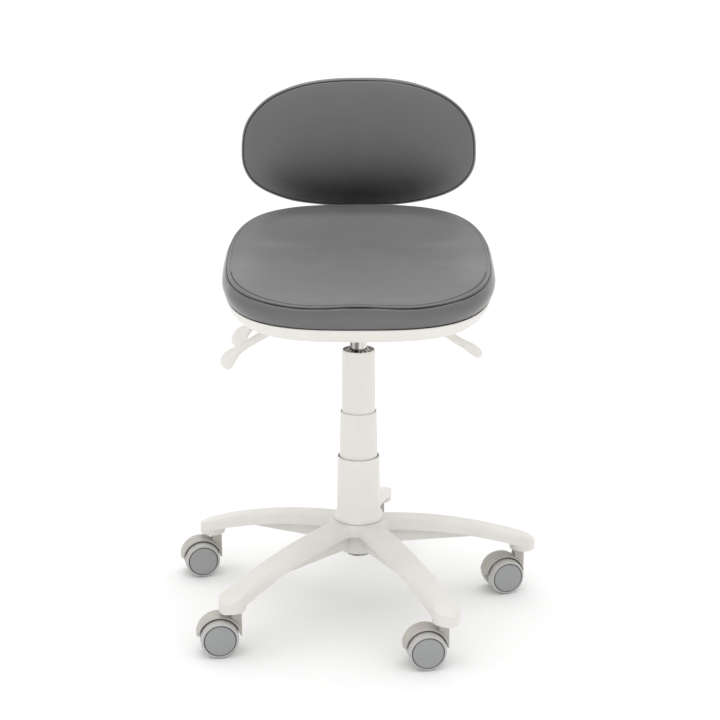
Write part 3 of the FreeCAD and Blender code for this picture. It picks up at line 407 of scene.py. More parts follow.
# a closed 2-D line drawn in by an amount, a number or one for each point
def insetLine(outline, amount):
    count = len(outline)
    moved = []
    for i, p in enumerate(outline):
        along = (outline[(i + 1) % count] - outline[i - 1]).normalized()
        inward = Vector((-along.y, along.x))
        moved.append(p + inward * (amount[i] if isinstance(amount, list) else amount))
    return moved


def smoothStep(low, high, value):
    share = min(max((value - low) / (high - low), 0), 1)
    return share * share * (3 - 2 * share)


def bell(value, middle, width):
    return math.exp(-((value - middle) / width) ** 2)


padding = {"quality": 5, "mass": 0.4, "stretch": 25, "bending": 2, "pressure": 4, "frames": 20,
           "neighbours": 40, "softness": 0.006, "seamHold": 4.5, "edgeHold": 2.5}


# inflates a remeshed copy of a cushion as cloth and moves the cushion's points with it
def padOut(obj, isHeld, cap, voxel=6):
    copy = bpy.data.objects.new("padding", obj.data.copy())
    bpy.context.scene.collection.objects.link(copy)
    remesh = copy.modifiers.new("remesh", "REMESH")
    remesh.mode = "VOXEL"
    remesh.voxel_size = voxel * mm
    applied(copy)
    rest = [v.co.copy() for v in copy.data.vertices]
    held = copy.vertex_groups.new(name="held")
    held.add([i for i, p in enumerate(rest) if isHeld(p)], 1.0, "REPLACE")
    cloth = copy.modifiers.new("cloth", "CLOTH")
    cloth.settings.quality = padding["quality"]
    cloth.settings.mass = padding["mass"]
    cloth.settings.tension_stiffness = padding["stretch"]
    cloth.settings.compression_stiffness = padding["stretch"]
    cloth.settings.bending_stiffness = padding["bending"]
    cloth.settings.use_pressure = True
    cloth.settings.uniform_pressure_force = padding["pressure"]
    cloth.settings.effector_weights.gravity = 0
    cloth.settings.vertex_group_mass = "held"
    cloth.collision_settings.use_collision = False
    cloth.point_cache.frame_start = 1
    cloth.point_cache.frame_end = padding["frames"]
    scene = bpy.context.scene
    for number in range(1, padding["frames"] + 1):
        scene.frame_set(number)
    applied(copy)
    scene.frame_set(1)
    tree = kdtree.KDTree(len(rest))
    for i, p in enumerate(rest):
        tree.insert(p, i)
    tree.balance()
    moves = []
    for p, v in zip(rest, copy.data.vertices):
        move = v.co - p
        if move.length > cap * mm:
            move *= cap * mm / move.length
        moves.append(move)
    for v in obj.data.vertices:
        total, weight = Vector((0, 0, 0)), 0
        for _, index, distance in tree.find_n(v.co, padding["neighbours"]):
            share = 1 / (distance + padding["softness"])
            total += moves[index] * share
            weight += share
        v.co += total / weight
    bpy.data.objects.remove(copy)
    print("padded out", obj.name, "longest move", round(max(m.length for m in moves) / mm, 2), "mm")


seatPlace = Matrix.Translation((0, -0.062, 0.495)) @ Matrix.Rotation(math.radians(9.1), 4, "X")
backPlace = Matrix.Translation((0, 0.256, 0.736)) @ Matrix.Rotation(math.radians(-5), 4, "X")
around = 288


# short rounded stitches laid end to end along a path, each half sunk in the cover
def stitches(name, path, outward, pitch=4.4, length=3.3, radius=0.5, place=None):
    points, faces = [], []
    lengths = [0]
    for a, b in zip(path, path[1:]):
        lengths.append(lengths[-1] + (b - a).length)
    at, count = 0, int(lengths[-1] / (pitch * mm))
    for number in range(count):
        target = (number + 0.5) * pitch * mm
        while lengths[at + 1] < target:
            at += 1
        share = (target - lengths[at]) / (lengths[at + 1] - lengths[at])
        middle = path[at].lerp(path[at + 1], share)
        along = (path[at + 1] - path[at]).normalized()
        up = outward[at].lerp(outward[at + 1], share).normalized()
        side = along.cross(up).normalized()
        first = len(points)
        for step in range(7):
            reach = -1 + step / 3
            thick = radius * mm * math.sqrt(max(1 - abs(reach) ** 2.6, 0.02))
            sink = up * (-0.25 * mm * reach * reach)
            for turn in range(6):
                angle = math.pi * turn / 3
                points.append(middle + along * (reach * length * mm / 2) + sink
                              + (up * math.sin(angle) + side * math.cos(angle)) * thick)
        for step in range(6):
            for turn in range(6):
                a, b = first + step * 6 + turn, first + step * 6 + (turn + 1) % 6
                faces.append((a, b, b + 6, a + 6))
        faces.append(tuple(first + turn for turn in range(6)))
        faces.append(tuple(first + 36 + turn for turn in range(6)))
    return meshObject(name, points, faces, place)


# the dark closing line of a seam: a thin round cord that lies in its groove
def seamCord(name, loop, radius, place):
    count = len(loop)
    rings = []
    for i, p in enumerate(loop):
        along = (loop[(i + 1) % count] - loop[i - 1]).normalized()
        side = along.cross(Vector((0, 0, 1)) if abs(along.z) < 0.8 else Vector((0, 1, 0))).normalized()
        up = side.cross(along)
        rings.append([p + (side * math.cos(a) + up * math.sin(a)) * radius * mm
                      for a in [math.pi * k / 4 for k in range(8)]])
    rings.append(rings[0])
    points, faces = loft(rings, False, False)
    return meshObject(name, points, faces, place)


# the surface direction at some points of a mesh
def outwardOf(obj, indices):
    return [obj.data.vertices[i].normal.copy() for i in indices]


# the outline of a cushion, moved so that its widest line stands where it should
def outlineOf(size, lowReach, highReach, lowPower, highPower):
    outline = egg(size["halfWidth"], lowReach, highReach, lowPower, highPower, around)
    return [p + Vector((0, size["widest"])) for p in outline]


# a search tree over the points of a seam given in millimetres
def seamTreeOf(points):
    tree = kdtree.KDTree(len(points))
    for i, p in enumerate(points):
        tree.insert(p * mm, i)
    tree.balance()
    return tree


seatSize = {"halfWidth": 218, "front": 229, "rear": 185, "frontPower": 3, "rearPower": 2.7, "widest": 95,
            "foot": 45.2, "seam": 79.5, "swell": 7, "centre": (0, 78), "middle": 205, "crown": 34}
seatUnder = (170, 120, 70, 30, 12, 7)  # rings of the underside, mm inside the outline
# rings of the side: share of the height up to the seam, mm inside the outline
seatSide = ((0.06, 5.0), (0.16, 3.0), (0.3, 1.3), (0.46, 0.3), (0.6, 0.5), (0.74, 2.0), (0.86, 4.4),
            (0.94, 6.2))
seatInset = 7.6  # where the seam lies
seatFace = (8.8, 10.6, 12.4, 14.2, 16, 18, 23, 29, 37, 47, 59, 73, 89, 107, 127, 149, 171, 190)
# (share of the depth from the middle, rise above the seam) along the middle of the seat
seatProfile = [(-1.1, 0), (-1, 1.5), (-0.8, 5.6), (-0.6, 5.8), (-0.3, 2.6), (0, 0.6), (0.3, 2.2), (0.6, 9.5),
               (0.8, 19), (0.92, 26), (1, 31), (1.1, 33)]


# height of the outer seam: a low hump between the thighs, and a rise around the dished rear
def seamHeight(x, y):
    front = 1 - smoothStep(-120, -60, y)
    wave = 2.6 * bell(x, 0, 42) - 1.2 * bell(abs(x), 88, 40)
    return seatSize["seam"] + 22 * smoothStep(80, 262, y) + front * wave


# height of the seat's upper surface along its middle, dished with a raised rear rim
def seatTop(x, y):
    part = (y - 73) / 207
    last = len(seatProfile) - 2
    k = next((i for i in range(1, last) if part <= seatProfile[i + 1][0]), last - 1)
    (a0, r0), (a1, r1), (a2, r2), (a3, r3) = seatProfile[k - 1:k + 3]
    wide = a2 - a1
    t = min(max((part - a1) / wide, 0), 1)
    slopeIn, slopeOut = (r2 - r0) / (a2 - a0) * wide, (r3 - r1) / (a3 - a1) * wide
    rise = (r1 * (2 * t ** 3 - 3 * t * t + 1) + slopeIn * (t ** 3 - 2 * t * t + t)
            + r2 * (3 * t * t - 2 * t ** 3) + slopeOut * (t ** 3 - t * t))
    thigh = bell(abs(x), 95, 55) * (1 - smoothStep(-60, 70, y)) * 3.2
    return seatSize["seam"] + rise - thigh + 2.5 * (abs(x) / 218) ** 2


# how far the rows at a seam are pushed out or pulled in, the radius of its cord, and the top
# stitching a few rows inside it, mm
seam = {"seatGroove": (0.5, -2.6, 0.5), "backGroove": (0.4, -2.2, 0.4), "cord": 0.9, "stitchDip": 1.1,
        "stitchLift": 0.7, "stitchRow": 4}


def makeSeatCushion():
    size = seatSize
    outline = outlineOf(size, size["front"], size["rear"], size["frontPower"], size["rearPower"])
    centre = Vector(size["centre"])

    def drawn(inset):
        return [centre + (p - centre) * (1 - inset / size["middle"]) for p in outline]

    rows, kinds = [], []
    foot = size["foot"]
    for inset in seatUnder:
        rows.append([Vector((p.x, p.y, foot)) for p in drawn(inset)])
        kinds.append("under")
    for share, inset in seatSide:
        rows.append([Vector((p.x, p.y, foot + (seamHeight(p.x, p.y) - foot) * share))
                     for p in drawn(inset)])
        kinds.append("side")
    rows.append([Vector((p.x, p.y, seamHeight(p.x, p.y))) for p in drawn(seatInset)])
    kinds.append("seam")
    for inset in seatFace:
        ring = []
        dome = 1 - (1 - min((inset - seatInset) / size["crown"], 1)) ** 2.4
        roll = 1.6 * bell(inset, 12.4, 7)  # the soft roll between the two seams
        for p in drawn(inset):
            low = seamHeight(p.x, p.y)
            ring.append(Vector((p.x, p.y, low + (seatTop(p.x, p.y) - low) * dome + roll)))
        rows.append(ring)
        kinds.append("top")
    points, faces = loft([[p * mm for p in ring] for ring in rows])
    obj = meshObject("seatCushion", points, faces)
    seamTree = seamTreeOf(rows[kinds.index("seam")])
    padOut(obj, lambda p: (p.z < (foot + padding["edgeHold"]) * mm
                           or seamTree.find(p)[2] < padding["seamHold"] * mm), size["swell"])
    verts = obj.data.vertices
    obj.data.update()
    seamRow = kinds.index("seam")

    def index(row, i):
        return row * around + i % around

    # seam groove: the cover is pulled in along the seam and stands up beside it
    normals = {row: outwardOf(obj, [index(row, i) for i in range(around)]) for row in range(len(rows))}
    for row, depth in zip(range(seamRow - 1, seamRow + 2), seam["seatGroove"]):
        for i in range(around):
            verts[index(row, i)].co += normals[row][i] * depth * mm
    cord = seamCord("seatSeam", [verts[index(seamRow, i)].co + normals[seamRow][i] * seam["cord"] * mm
                                 for i in range(around)], seam["cord"], seatPlace)
    top = seamRow + seam["stitchRow"]
    for i in range(around):
        verts[index(top, i)].co -= normals[top][i] * seam["stitchDip"] * mm
    obj.data.update()
    # the cover gathers slightly at the front corners and along the band
    for row in range(6, len(rows)):
        near = bell(row, seamRow - 2, 4)
        for i in range(around):
            v = verts[index(row, i)]
            wave = noise.noise(v.co * 28) * 0.9 * near + noise.noise(v.co * 11 + Vector((3, 1, 7))) * 0.8
            v.co += normals[row][i] * wave * mm * (0.35 if kinds[row] == "top" else 1)
    obj.data.update()
    stitchRow = [verts[index(top, i)].co.copy() for i in range(around)]
    stitchUp = outwardOf(obj, [index(top, i) for i in range(around)])
    # the top stitching runs around the front only
    front = [i for i in range(around) if stitchRow[i].y < 0.02 and abs(stitchRow[i].x) < 0.2]
    run = sorted(front, key=lambda i: (i - around * 3 // 4 + around // 2) % around)
    seamStitch = stitches("seatStitch", [stitchRow[i] + stitchUp[i] * seam["stitchLift"] * mm for i in run],
                          [stitchUp[i] for i in run], place=seatPlace)
    surface = obj.modifiers.new("surface", "SUBSURF")
    surface.levels = surface.render_levels = 1
    applied(obj)
    obj.data.transform(seatPlace)
    obj.data.shade_smooth()
    keep("seatCushion", obj, upholstery, "seat", ["seat_cushion"])
    keep("seatStitch", seamStitch, thread, "seat")
    keep("seatSeam", cord, thread, "seat")
    print("stage: seat cushion")


backSize = {"halfWidth": 204.5, "low": 96.5, "top": 124.5, "lowPower": 2.65, "topPower": 2.4, "widest": -14,
            "rear": 40, "swell": 6, "edge": 24}
backUnder = (112, 80, 50, 24, 12, 7)  # rings of the rear face, mm inside the outline
# (depth, mm inside the outline) of the rings of the side, then of the seam
backSide = ((38.5, 4.2), (34, 1.6), (28, 0.4), (22, 0.1), (17, 0.8), (13.8, 2.2), (12, 3.4))
backSeam = (10.6, 4.6)
# (mm inside the outline, depth) of the rings of the crowned front
backFace = ((6.2, 9.6), (8.6, 8.3), (12, 6.6), (16.5, 4.6), (22, 2.5), (30, 0), (40, -2.6), (52, -5.2),
            (66, -7.4), (82, -9), (98, -9.9), (112, -10.2))


def makeBackCushion():
    size = backSize
    outline = outlineOf(size, size["low"], size["top"], size["lowPower"], size["topPower"])

    # insets by millimetres near the edge, by share of the shape towards the middle
    def drawn(inset, reach=115):
        edge = size["edge"]
        if inset <= edge:
            return insetLine(outline, [inset] * around)
        base = insetLine(outline, [edge] * around)
        share = (inset - edge) / (reach - edge)
        spine = [Vector((p.x * 0.45, 2)) for p in base]
        return [p.lerp(q, share) for p, q in zip(base, spine)]

    rows, kinds = [], []
    rear = size["rear"]
    for inset in backUnder:
        rows.append([Vector((p.x, rear, p.y)) for p in drawn(inset)])
        kinds.append("under")
    for depth, inset in backSide:
        rows.append([Vector((p.x, depth, p.y)) for p in drawn(inset)])
        kinds.append("side")
    rows.append([Vector((p.x, backSeam[0], p.y)) for p in drawn(backSeam[1])])
    kinds.append("seam")
    for inset, depth in backFace:
        rows.append([Vector((p.x, depth, p.y)) for p in drawn(inset)])
        kinds.append("front")
    points, faces = loft([[p * mm for p in ring] for ring in rows])
    obj = meshObject("backCushion", points, faces)
    seamTree = seamTreeOf(rows[kinds.index("seam")])
    padOut(obj, lambda p: (p.y > (rear - padding["edgeHold"]) * mm
                           or seamTree.find(p)[2] < padding["seamHold"] * mm), size["swell"])
    verts = obj.data.vertices
    obj.data.update()
    seamRow = kinds.index("seam")

    def index(row, i):
        return row * around + i % around

    normals = {row: outwardOf(obj, [index(row, i) for i in range(around)]) for row in range(len(rows))}
    for row, depth in zip(range(seamRow - 1, seamRow + 2), seam["backGroove"]):
        for i in range(around):
            verts[index(row, i)].co += normals[row][i] * depth * mm
    cord = seamCord("backSeam", [verts[index(seamRow, i)].co + normals[seamRow][i] * seam["cord"] * mm
                                 for i in range(around)], seam["cord"], backPlace)
    for row in range(6, len(rows)):
        near = bell(row, seamRow - 2, 4)
        for i in range(around):
            v = verts[index(row, i)]
            wave = noise.noise(v.co * 26 + Vector((9, 4, 2))) * 0.8 * near
            wave += noise.noise(v.co * 10 + Vector((5, 8, 1))) * 0.8
            v.co += normals[row][i] * wave * mm * (0.5 if kinds[row] == "front" else 1)
    surface = obj.modifiers.new("surface", "SUBSURF")
    surface.levels = surface.render_levels = 1
    applied(obj)
    obj.data.transform(backPlace)
    obj.data.shade_smooth()
    keep("backCushion", obj, upholstery, "backrest", ["back_cushion"])
    keep("backSeam", cord, thread, "backrest")
    print("stage: back cushion")


makeSeatCushion()
makeBackCushion()


panSize = {"floor": 25.5, "wall": 3, "rim": 44.8, "middle": (0, 80), "bossX": (-75, 75),
           "bossY": (22.5, 132.5),
           "boss": [(4.2, 26, 0), (4.2, 35.4, 0.4), (11.5, 35.4, 0.6), (12.5, 28.5, 0)]}


# moulded pan: a dished white skin with a rounded rim that the cushion sits in
def makeSeatPan():
    size = seatSize
    outline = outlineOf(size, size["front"], size["rear"], size["frontPower"], size["rearPower"])
    floor, high = panSize["floor"], panSize["rim"]
    skin = [(6, high), (5.6, high - 0.8), (5.7, high - 2.5), (6.8, high - 7), (9.6, 31), (14, 25), (20, 20),
            (27, 16.4), (34, 14.4), (40, 14), (46, 14.6), (52, 18), (56, 23), (60, floor)]
    under = floor + panSize["wall"]
    inside = [(56, under), (50, 25.5), (44, 19), (38, 17.4), (31, 19), (24, 22.6), (18, 27), (13.4, 32),
              (10.2, 38), (8.8, high - 1), (8, high - 0.2), (7, high)]
    rows = []
    for inset, z in skin + [(100, floor), (180, floor), (180, under), (100, under)] + inside:
        middle = Vector(panSize["middle"])
        if inset <= 62:
            ring = insetLine(outline, [inset] * around)
        else:
            ring = [middle + (p - middle) * (1 - inset / size["middle"]) for p in outline]
        rows.append([Vector((p.x, p.y, z)) * mm for p in ring])
    rows.append(rows[0])
    points, faces = loft(rows, False, False)
    obj = meshObject("seatPan", points, faces, seatPlace)
    bosses = []
    for x in panSize["bossX"]:
        for y in panSize["bossY"]:
            spot = seatPlace @ Matrix.Translation((x * mm, y * mm, 0))
            bosses.append(lathe("boss", panSize["boss"], spot, 40))
    piece = joined("seatPan", [obj] + bosses)
    keep("seatPan", piece, whiteMoulding, "seat", ["seat_pan"])


# white rear shell of the backrest, with a step where it meets the cushion
def makeBackShell():
    size = backSize
    outline = outlineOf(size, size["low"], size["top"], size["lowPower"], size["topPower"])
    skin = [(5, 40.4), (3.6, 40.7), (3.4, 41.6), (4, 44), (5.6, 47), (8.5, 50), (12.5, 52.8), (18, 55.2),
            (24, 56.5), (31, 57)]
    inside = [(31, 54), (24, 53.5), (18, 52), (13, 49.6), (9.5, 47), (7.4, 44), (6.6, 41), (6, 40.4)]
    rows = []
    spine = [Vector((p.x * 0.4, 2)) for p in outline]
    for inset, y in skin + [(60, 57), (96, 57), (96, 54), (60, 54)] + inside:
        if inset <= 31:
            ring = insetLine(outline, [inset] * around)
        else:
            base = insetLine(outline, [31] * around)
            ring = [p.lerp(q, (inset - 31) / 80) for p, q in zip(base, spine)]
        rows.append([Vector((p.x, y, p.y)) * mm for p in ring])
    rows.append(rows[0])
    points, faces = loft(rows, False, False)
    obj = meshObject("backShell", points, faces, backPlace)
    keep("backShell", obj, whiteMoulding, "backrest", ["back_shell"])


makeSeatPan()
makeBackShell()
print("stage: pan and shell")


covers = {
    "coverLower": ("cover_lower", "base", [(39.3, 147.2, 0.8), (40.8, 148.4, 1.2), (40.8, 153.6, 2.5),
                   (39.0, 157.5, 3), (36.4, 161, 3), (35.8, 165.5, 3), (35.75, 168, 0), (34.75, 250.5, 0.2),
                   (35.05, 251.2, 0.3), (34.72, 255.6, 0.6), (34.2, 256.4, 0.4), (33.5, 256.4, 0.3),
                   (34.6, 163.2, 2), (38.4, 153.6, 2), (38.4, 147.2, 0)]),
    "coverMiddle": ("cover_middle", "cover_mid", [(30.6, 223.6, 0), (31.8, 223.6, 0.4), (29.9, 327.5, 0.2),
                    (30.15, 328.2, 0.3), (29.72, 332.8, 0.6), (29.25, 333.6, 0.4), (28.5, 333.6, 0.3)]),
    "coverUpper": ("cover_upper", "carriage", [(26.4, 317.7, 0), (27.6, 317.7, 0.4), (26.7, 431.5, 0.2),
                   (26.95, 432.2, 0.3), (26.5, 436.9, 0.6), (26.05, 437.7, 0.4), (25.3, 437.7, 0.3)]),
}
for name, (node, body, profile) in covers.items():
    keep(name, lathe(name, profile, None, 128), whiteMoulding, body, [node])


# a ring of bent sheet fingers around the lift, from one radius out to another
def petals(name, count, inner, outer, low, high, slope, gap):
    points, faces = [], []
    for number in range(count):
        start = len(points)
        for radius, drop in ((inner, 0), ((inner + outer) / 2, slope * 0.35), (outer, slope)):
            for edge in (gap, 1 - gap):
                turn = 2 * math.pi * (number + edge) / count
                for z in (low, high):
                    points.append(Vector((radius * math.cos(turn), radius * math.sin(turn), z + drop)) * mm)
        for ring in (0, 4):
            a = start + ring
            faces += [(a, a + 4, a + 6, a + 2), (a + 1, a + 3, a + 7, a + 5), (a, a + 1, a + 5, a + 4),
                      (a + 2, a + 6, a + 7, a + 3)]
        faces += [(start, start + 2, start + 3, start + 1), (start + 8, start + 9, start + 11, start + 10)]
    obj = meshObject(name, points, faces)
    softened(obj, 0.3, 30, 2)
    return obj


# centring ring in the mouth of the top cover, with a sprung steel star around the tube
def makeCollar():
    ring = lathe("ring", [(15.2, 430.8, 0.3), (25.1, 430.8, 0.3), (25.1, 436, 0.5), (20.5, 435.6, 0.5),
                          (17, 433.4, 0.5), (15.2, 433.4, 0.3)], None, 96)
    keep("coverCollar", ring, collarGrey, "carriage", ["cover_collar"])
    keep("collarStar", petals("collarStar", 14, 14.3, 19.4, 437.4, 438.4, -2.6, 0.2), chrome, "carriage")


# crimps and knurls around the foot; depths as a share of the radius, heights in metres
columnFoot = {"crimps": 18, "crimpDepth": 0.045, "crimpTop": 0.0926, "innerRadius": 0.017, "knurls": 45,
              "knurlDepth": 0.012}


# outer tube of the lift: a swaged foot with crimp facets under the hub
def makeColumnFoot():
    piece = lathe("columnTube", [(6, 84, 0.2), (18.4, 84, 1.5), (20.8, 85.4, 1.2), (21.5, 87.6, 0.6),
                                 (21.5, 92, 0.3), (23.6, 93.2, 0.6), (25, 147.2, 0.5), (25, 277.4, 0.5),
                                 (24.4, 278, 0.3), (23, 278, 0), (23, 147.4, 0), (21.6, 94.4, 0),
                                 (19.5, 93, 0), (19.5, 86.2, 0), (6, 86.2, 0)], None, 144)
    for v in piece.data.vertices:
        if v.co.z < columnFoot["crimpTop"] and math.hypot(v.co.x, v.co.y) > columnFoot["innerRadius"]:
            turn = math.atan2(v.co.y, v.co.x)
            crimp = 1 - columnFoot["crimpDepth"] * (0.5 + 0.5 * math.cos(turn * columnFoot["crimps"])) ** 2
            v.co.x *= crimp
            v.co.y *= crimp
    keep("columnTube", piece, chrome, "base", ["column_tube"])
    collar = lathe("knurl", [(21.5, 86.8, 0.3), (22.3, 87.4, 0.4), (22.3, 92.2, 0.4), (21.5, 92.8, 0.3)],
                   None, 180)
    for v in collar.data.vertices:
        turn = math.atan2(v.co.y, v.co.x)
        out = 1 + columnFoot["knurlDepth"] * math.cos(turn * columnFoot["knurls"]) * math.cos(v.co.z * 2400)
        v.co.x *= out
        v.co.y *= out
    keep("columnKnurl", collar, knurledSteel, "base")
    fingers = petals("columnPetals", columnFoot["crimps"], 12.5, 20.4, 82.6, 83.8, 2.2, 0.12)
    keep("columnPetals", fingers, chrome, "base")


makeCollar()
makeColumnFoot()
cylinder = lathe("gasCylinder", [(12, 222, 0.3), (14, 222, 0.6), (14, 456, 0), (13.2, 484, 0.5),
                                 (3.6, 484, 0.2), (3.6, 450, 0), (12, 450, 0)], None, 96)
keep("gasCylinder", cylinder, chrome, "carriage", ["gas_cylinder"])
button = lathe("releaseButton", [(0, 457, 0), (3.4, 457, 0.2), (3.4, 486.4, 0.8), (2.6, 487, 0.4),
                                 (0, 487, 0)], None, 40, False)
keep("releaseButton", button, zinc, "valve_button", ["release_button"])
print("stage: column")


armAngles = [10.2 + 72 * number for number in range(5)]
aims = [17, 12, 14, 10, 8]  # where each caster points, degrees
caster = {
    "reach": 0.277, "trail": 0.028, "height": 0.030,  # metres
    "tread": [(3.1, 6.3, 0), (27.6, 6.3, 1), (30, 8.4, 2.2), (30, 22.6, 4.2), (28.6, 26.6, 3),
              (26.8, 27.9, 1), (25.9, 28.0, 0.5), (25.6, 27.2, 0.3), (25.4, 24.9, 0), (3.1, 24.9, 0)],
    "groove": [(20, 25.0, 0), (25.2, 25.0, 0), (25.2, 25.5, 0), (20, 25.5, 0)],
    "cap": [(0, 25.6, 0), (24.0, 25.6, 0), (24.3, 26.6, 0.5), (23.7, 27.9, 0.9), (22.2, 28.3, 1.5),
            (14, 28.9, 6), (0, 29.3, 0)],
    "hood": [(32.4, -15.4, 0.6), (34.2, -16.2, 1.6), (35, -9, 2), (35, 9, 2), (34.2, 16.2, 1.6),
             (32.4, 15.4, 0.6)],
    "disc": [(3.2, -4.7, 0), (25.4, -4.7, 1), (26, 0, 1), (25.4, 4.7, 1), (3.2, 4.7, 0)],
    "web": [(2, 27), (-3, 30), (-3, 52), (8, 62), (26, 63), (26, 40)], "webHalf": 4.7,
    "pin": [(0, -21, 0), (2.9, -21, 0.3), (2.9, 21, 0.3), (0, 21, 0)],
    "postHalf": 7.8, "postTop": 69.5, "postSide": 8.2, "scoop": 33.4,
}


# twin wheels with capped faces, and the moulding between them
def makeCaster(number):
    turn = math.radians(armAngles[number])
    stem = Matrix.Translation((caster["reach"] * math.cos(turn), caster["reach"] * math.sin(turn), 0))
    aimed = stem @ Matrix.Rotation(math.radians(aims[number] + 180), 4, "Z")
    for side, letter in ((1, "a"), (-1, "b")):
        body = f"wheel_{letter}_{number + 1}"
        place = (aimed @ Matrix.Translation((caster["trail"], 0, caster["height"]))
                 @ Matrix.Rotation(math.radians(-90 * side), 4, "X"))
        keep(f"tyre_{letter}_{number + 1}", lathe("tyre", caster["tread"], place, 96), tread, body, [body])
        # the dark grey ring in the groove is painted shade
        keep(f"groove_{letter}_{number + 1}", lathe("groove", caster["groove"], place, 72), grooveShade, body)
        keep(f"cap_{letter}_{number + 1}", lathe("cap", caster["cap"], place, 72, False), capGrey, body)
    makeCasterFrame(number, aimed)


# hood over both wheels, the web between them and the post that takes the stem
def makeCasterFrame(number, aimed):
    axle = (aimed @ Matrix.Translation((caster["trail"], 0, caster["height"]))
            @ Matrix.Rotation(math.radians(90), 4, "X"))
    section = roundCorners(caster["hood"], 4, True)
    rings = []
    for step in range(49):
        turn = math.radians(2 + 176 * step / 48)
        fade = min(1, 0.35 + math.sin(math.pi * step / 48) * 6)
        rings.append([Vector((r * math.cos(turn), r * math.sin(turn), y * fade)) * mm for r, y in section])
    hood = meshObject("hood", *loft(rings), axle)
    disc = lathe("disc", caster["disc"], axle, 72)
    low, out = caster["height"] / mm, caster["trail"] / mm
    side = [(-caster["postSide"], 27), (-caster["postSide"], caster["postTop"]),
            (caster["postSide"], caster["postTop"]), (caster["postSide"], 59)]
    scoop = [math.radians(a) for a in range(122, 184, 6)]
    side += [(out + caster["scoop"] * math.cos(a), low + caster["scoop"] * math.sin(a)) for a in scoop]
    post = prism("post", side, -caster["postHalf"], caster["postHalf"], "y", aimed, 3.2, 4)
    web = prism("web", caster["web"], -caster["webHalf"], caster["webHalf"], "y", aimed, 0.8, 2)
    axlePin = lathe("pin", caster["pin"], axle, 24, False)
    piece = joined(f"casterFrame_{number + 1}", [hood, disc, post, web, axlePin])
    name = f"caster_{number + 1}"
    keep(f"casterFrame_{number + 1}", piece, nylon, name, [f"caster_frame_{number + 1}"])


for number in range(5):
    makeCaster(number)
print("stage: casters")


# for each lever: the side it is on, its place along the seat, how much its leaf widens and the line
# of its middle as (distance out, height), mm
levers = {
    "height": (1, 0, 2.0, [(52.6, 490.7), (95, 489), (120, 478), (146, 461.5), (160, 452), (171, 446),
                           (182, 439), (191, 432.5), (199, 425)]),
    "tilt": (-1, -10, 7.0, [(52.6, 490.7), (95, 489.5), (125, 480), (150, 466), (174, 452), (193, 439.5),
                            (206, 427), (213, 417), (218, 408.5)]),
    "recline": (-1, 88, 7.6, [(52.6, 490.7), (95, 489), (125, 481), (150, 469), (166, 461), (181, 451),
                              (193, 440), (201, 429), (207, 418)]),
}
grip = {"neckWide": 7.4, "neckThick": 6.4, "leafThinner": 2.4, "opens": (0.52, 0.8), "closes": 0.84,
        "twist": 10, "leafTwist": 38, "stations": 72, "around": 32}


# a hand lever: an oval neck that opens into a leaf whose rear edge swells
def makeGrip(kind):
    side, middle, leaf, path = levers[kind]
    path = [Vector(p) for p in path]
    stations = grip["stations"]
    rows = []
    for step in range(stations + 1):
        share = step / stations
        at = share * (len(path) - 1)
        k = min(int(at), len(path) - 2)
        t = at - k
        p0, p1, p2, p3 = path[max(k - 1, 0)], path[k], path[k + 1], path[min(k + 2, len(path) - 1)]
        spot = 0.5 * ((2 * p1) + (p2 - p0) * t + (2 * p0 - 5 * p1 + 4 * p2 - p3) * t * t
                      + (3 * p1 - p0 - 3 * p2 + p3) * t ** 3)
        heading = ((p2 - p0) + (2 * p0 - 5 * p1 + 4 * p2 - p3) * 2 * t
                   + (3 * p1 - p0 - 3 * p2 + p3) * 3 * t * t).normalized()
        up = Vector((-heading.y, heading.x))
        if up.y < 0:
            up = -up
        opened = smoothStep(*grip["opens"], share)
        closing = math.sqrt(max(1 - max((share - grip["closes"]) / (1 - grip["closes"]), 0) ** 2.6, 0.015))
        wide = (grip["neckWide"] + leaf * opened) * closing
        thick = (grip["neckThick"] - grip["leafThinner"] * opened) * max(closing, 0.5)
        twist = math.radians(grip["twist"] + grip["leafTwist"] * opened)
        shift = (wide - grip["neckWide"] * closing) * 0.2
        a = Vector((up.x * math.sin(twist), math.cos(twist), up.y * math.sin(twist)))
        b = Vector((up.x * math.cos(twist), -math.sin(twist), up.y * math.cos(twist)))
        centre = Vector((spot.x, 0, spot.y)) + a * shift
        ring = []
        for number in range(grip["around"]):
            angle = 2 * math.pi * number / grip["around"]
            ca, sa = math.cos(angle), math.sin(angle)
            ca, sa = math.copysign(abs(ca) ** 0.8, ca), math.copysign(abs(sa) ** 0.8, sa)
            p = centre + a * (ca * wide) + b * (sa * thick)
            ring.append(Vector((p.x * side, p.y + middle, p.z)) * mm)
        rows.append(ring)
    points, faces = loft(rows)
    obj = meshObject(f"{kind}Grip", points, faces)
    surface = obj.modifiers.new("surface", "SUBSURF")
    surface.levels = surface.render_levels = 1
    applied(obj)
    obj.data.shade_smooth()
    keep(f"{kind}Grip", obj, whiteMoulding, f"{kind}_lever", [f"{kind}_lever_grip"])


for kind in levers:
    makeGrip(kind)
print("stage: levers")


